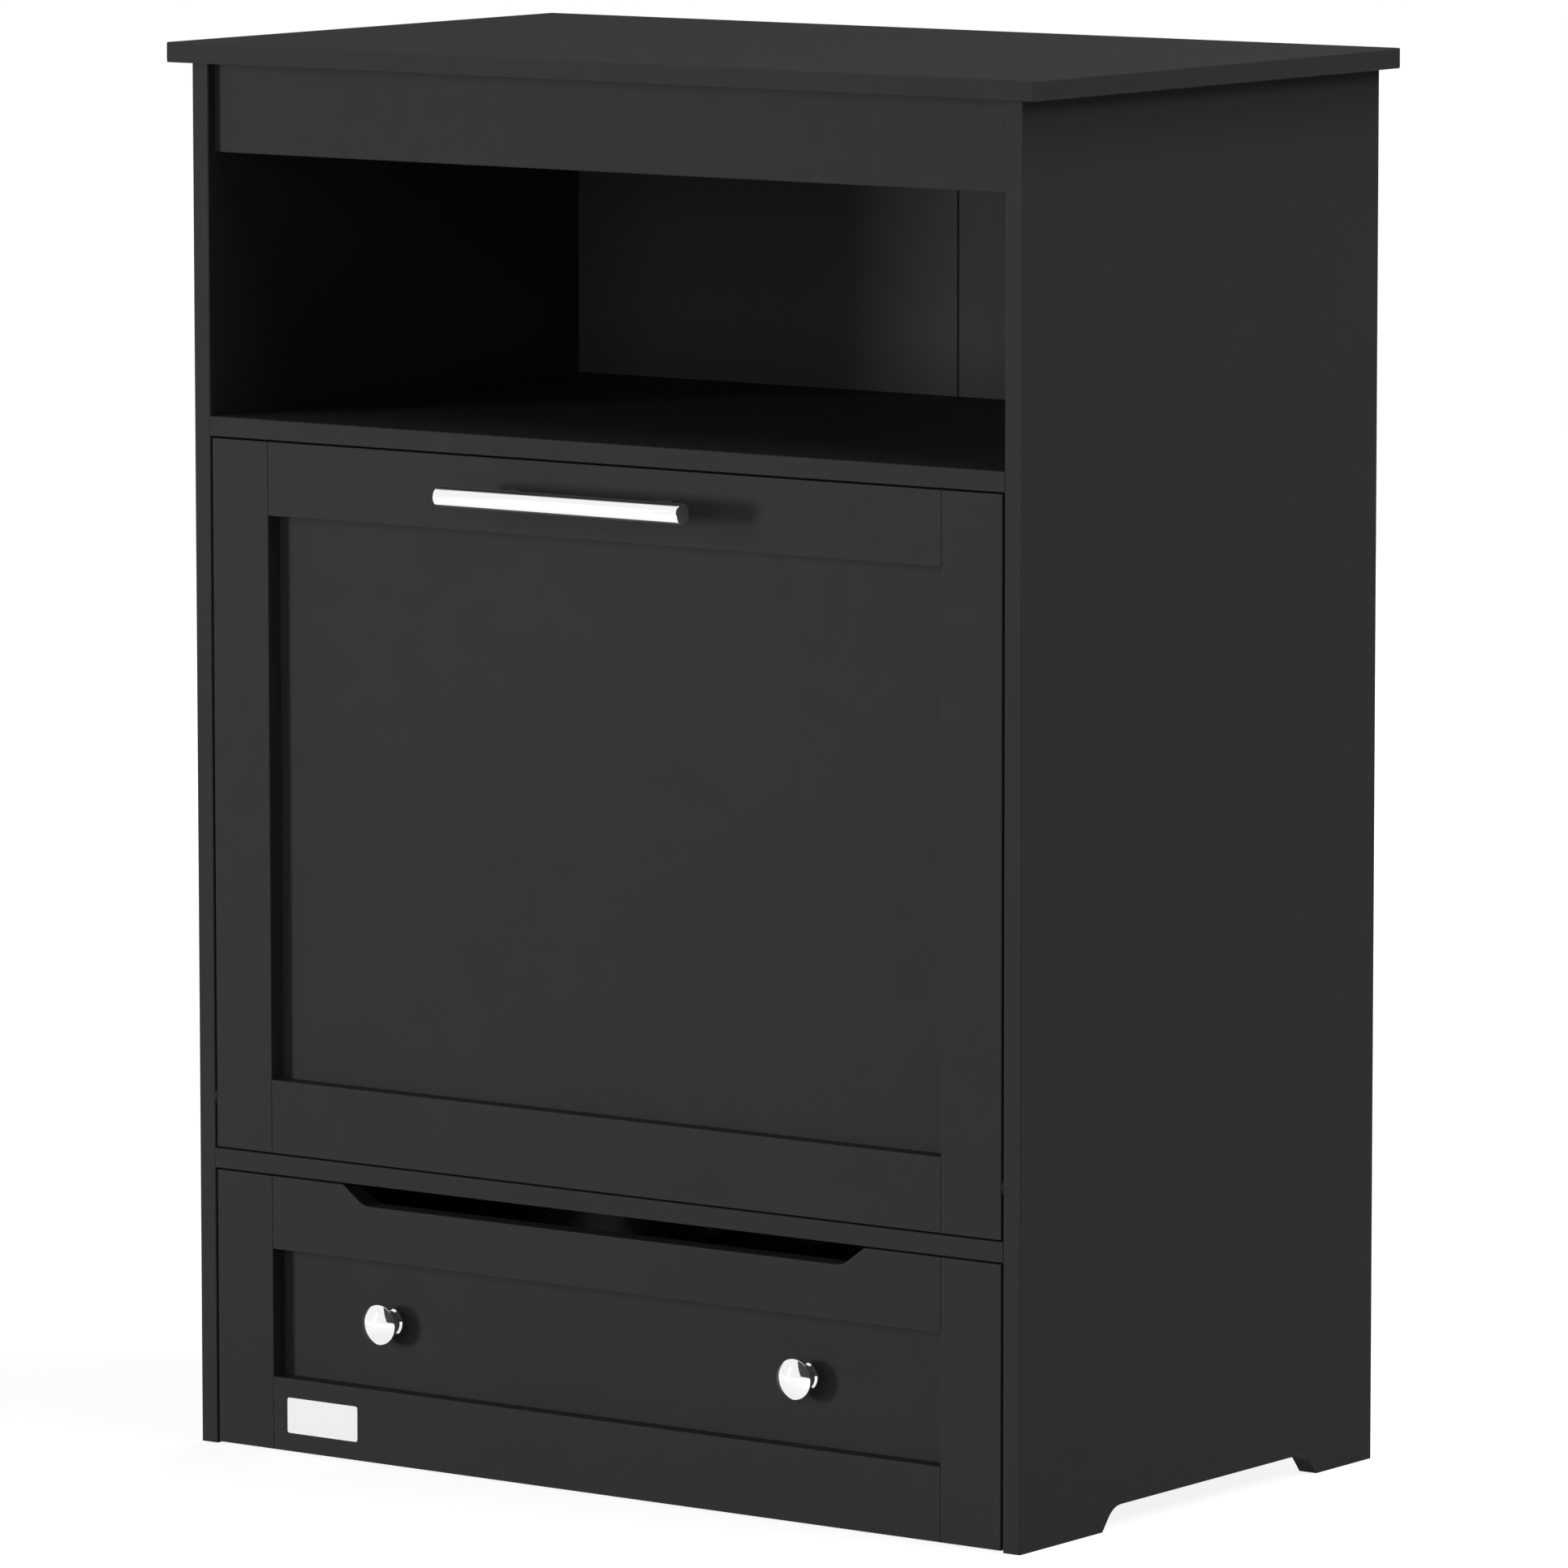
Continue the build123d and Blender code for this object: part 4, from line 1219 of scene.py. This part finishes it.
def upright(start: Point, end: Point, foot: float, top: float) -> tuple[Point3, ...]:
    """Corners of an upright card that stands between two places, seen from above."""
    return (*start, foot), (*end, foot), (*end, top), (*start, top)


@dataclass(frozen=True)
class Card:
    """A flat card of the studio, with its corners in order."""

    name: str
    corners: tuple[Point3, ...]

    def put(self, material: bpy.types.Material) -> bpy.types.Object:
        """Puts the card in the studio.

        Args:
            material: The card's material.

        Returns:
            The card's object.
        """
        data = bpy.data.meshes.new(self.name)
        data.from_pydata(self.corners, [], [(0, 1, 2, 3)])
        data.materials.append(material)
        made = bpy.data.objects.new(self.name, data)
        bpy.context.scene.collection.objects.link(made)
        return made


@dataclass(frozen=True)
class Flag(Card):
    """A card that only gloss sees, to shape what the chrome and lacquer mirror."""

    brightness: float

    def hang(self) -> None:
        """Hangs the flag, hidden from all but gloss."""
        graph = Graph(self.name)
        glow = graph.node("Emission", {"Color": (*(self.brightness,) * 3, 1)})
        graph.surface(glow.outputs["Emission"])
        made = self.put(graph.material)
        made.visible_camera = False
        made.visible_diffuse = False
        made.visible_shadow = False
        made.visible_transmission = False


@dataclass(frozen=True)
class Lamp:
    """A square area lamp: its side is in metres, its power in watts, and gloss may mirror it."""

    name: str
    place: Point3
    target: Point3
    side: float
    power: float
    mirrored: bool = False

    def hang(self) -> None:
        """Hangs the lamp, facing its target and hidden from the camera."""
        data = bpy.data.lights.new(self.name, "AREA")
        data.size = self.side
        data.energy = self.power
        made = bpy.data.objects.new(self.name, data)
        made.visible_camera = False
        made.visible_glossy = self.mirrored
        made.matrix_world = aimed(self.place, Vector(self.target) - Vector(self.place))
        bpy.context.scene.collection.objects.link(made)


DARK, GREY = 0.03, 0.45
FLAG_TOP = 9.0
FLAGS = (
    Flag(
        "front_flag",
        ((1.05, -5.6, 0.68), (5.2, -3.4, 0.02), (5.2, -3.4, FLAG_TOP), (-3.0, -5.6, FLAG_TOP)),
        DARK,
    ),
    Flag("right_flag", upright((5.2, -3.4), (4.6, 5.0), 0.02, FLAG_TOP), DARK),
    Flag("back_flag", upright((6.0, 4.5), (-6.0, 4.5), -0.1, FLAG_TOP), DARK),
    Flag("left_flag", upright((-4.6, -0.4), (-4.6, 4.5), 0.55, FLAG_TOP), GREY),
    Flag("top_flag", level((-5.0, 0.6), (5.0, 9.0), 5.0), DARK),
)
LAMPS = (
    Lamp("key_lamp", (-3.0, -4.1, 0.62), (0.0, -0.16, 0.6), 0.8, 120.0, mirrored=True),
    Lamp("high_key_lamp", (-2.6, -3.7, 1.9), (0.0, -0.16, 0.6), 0.8, 30.0, mirrored=True),
    Lamp("middle_lamp", (-0.4, -5.2, 0.9), (0.0, -0.16, 0.5), 1.6, 34.0),
    Lamp("fill_lamp", (2.0, -5.0, 1.3), (0.0, -0.16, 0.5), 3.0, 50.0),
    Lamp("side_lamp", (2.4, 0.2, 2.0), (0.3, 0.1, 0.7), 1.0, 23.0),
    Lamp("high_side_lamp", (3.5, -0.6, 3.6), (0.3, 0.0, 0.6), 2.0, 29.0),
    Lamp("back_lamp", (-1.5, 4.5, 1.6), (0.0, 0.2, 0.45), 2.5, 130.0),
    Lamp("top_lamp", (1.2, 0.6, 3.6), (0.2, 0.0, 0.84), 1.5, 99.0),
)


@dataclass
class Studio:
    """Floor, backdrop, lamps and camera, in the cabinet's frame.

    The floor's glow rises from near_glow to far_glow between two distances from the cabinet.
    """

    camera_place: Point3 = (3.81041, -5.194705, 1.22500)
    camera_way: Point3 = (-0.58536, 0.80085, -0.12648)
    camera_roll: float = -0.035
    lens: float = 251.42
    sensor_width: float = 36.0
    sight: float = 60.0
    floor_half: float = 14.0
    floor_drop: float = 0.2 * MM
    floor_colour: float = 0.27
    near_glow: float = 0.88
    far_glow: float = 1.0
    near_reach: float = 0.7
    far_reach: float = 3.0

    def camera(self) -> None:
        """The camera at the photograph's viewing angle."""
        data = bpy.data.cameras.new("photo_camera")
        data.lens = self.lens
        data.sensor_width = self.sensor_width
        data.clip_end = self.sight
        made = bpy.data.objects.new("photo_camera", data)
        roll = Matrix.Rotation(math.radians(self.camera_roll), 4, "Z")
        made.matrix_world = aimed(self.camera_place, Vector(self.camera_way).normalized()) @ roll
        bpy.context.scene.collection.objects.link(made)
        bpy.context.scene.camera = made

    def world(self) -> None:
        """White where the camera, gloss or glass looks, and no light on things otherwise."""
        world = bpy.data.worlds.new("studio_world")
        bpy.context.scene.world = world
        world.use_nodes = True
        nodes = Nodes(world.node_tree)
        white = {"Color": (1, 1, 1, 1), "Strength": nodes.seen()}
        nodes.feed(nodes.tree.nodes["Background"], white)

    def floor(self) -> None:
        """A white floor that keeps the cabinet's shadow."""
        graph = Graph("studio_floor")
        matte = graph.node("BsdfDiffuse", {"Color": (*(self.floor_colour,) * 3, 1)})
        reach = graph.node("VectorMath", {0: graph.place()}, operation="LENGTH")
        reaches, glows = (self.near_reach, self.far_reach), (self.near_glow, self.far_glow)
        fade = graph.ramp(reach.outputs["Value"], reaches, glows)
        glow = graph.node("Emission", {"Strength": graph.combine("MULTIPLY", graph.seen(), fade)})
        shaders = {0: matte.outputs["BSDF"], 1: glow.outputs["Emission"]}
        graph.surface(graph.node("AddShader", shaders).outputs["Shader"])
        half = self.floor_half
        corners = level((-half, -half), (half, half), -self.floor_drop)
        Card("studio_floor", corners).put(graph.material)

    def build(self) -> None:
        """Sets up the whole studio."""
        bpy.context.scene.view_settings.view_transform = "Standard"
        self.camera()
        self.world()
        self.floor()
        for thing in (*FLAGS, *LAMPS):
            thing.hang()
        log.info("set up the studio")


def main() -> None:
    """Builds every sub-assembly and the studio, in order."""
    logging.basicConfig(level=logging.INFO, format="%(name)s: %(message)s")
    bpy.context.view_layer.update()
    for part in (Carcass(), TiltBin(), FeedingDrawer(), Bowls(), Runners(), Studio()):
        part.build()


if __name__ == "__main__":
    main()
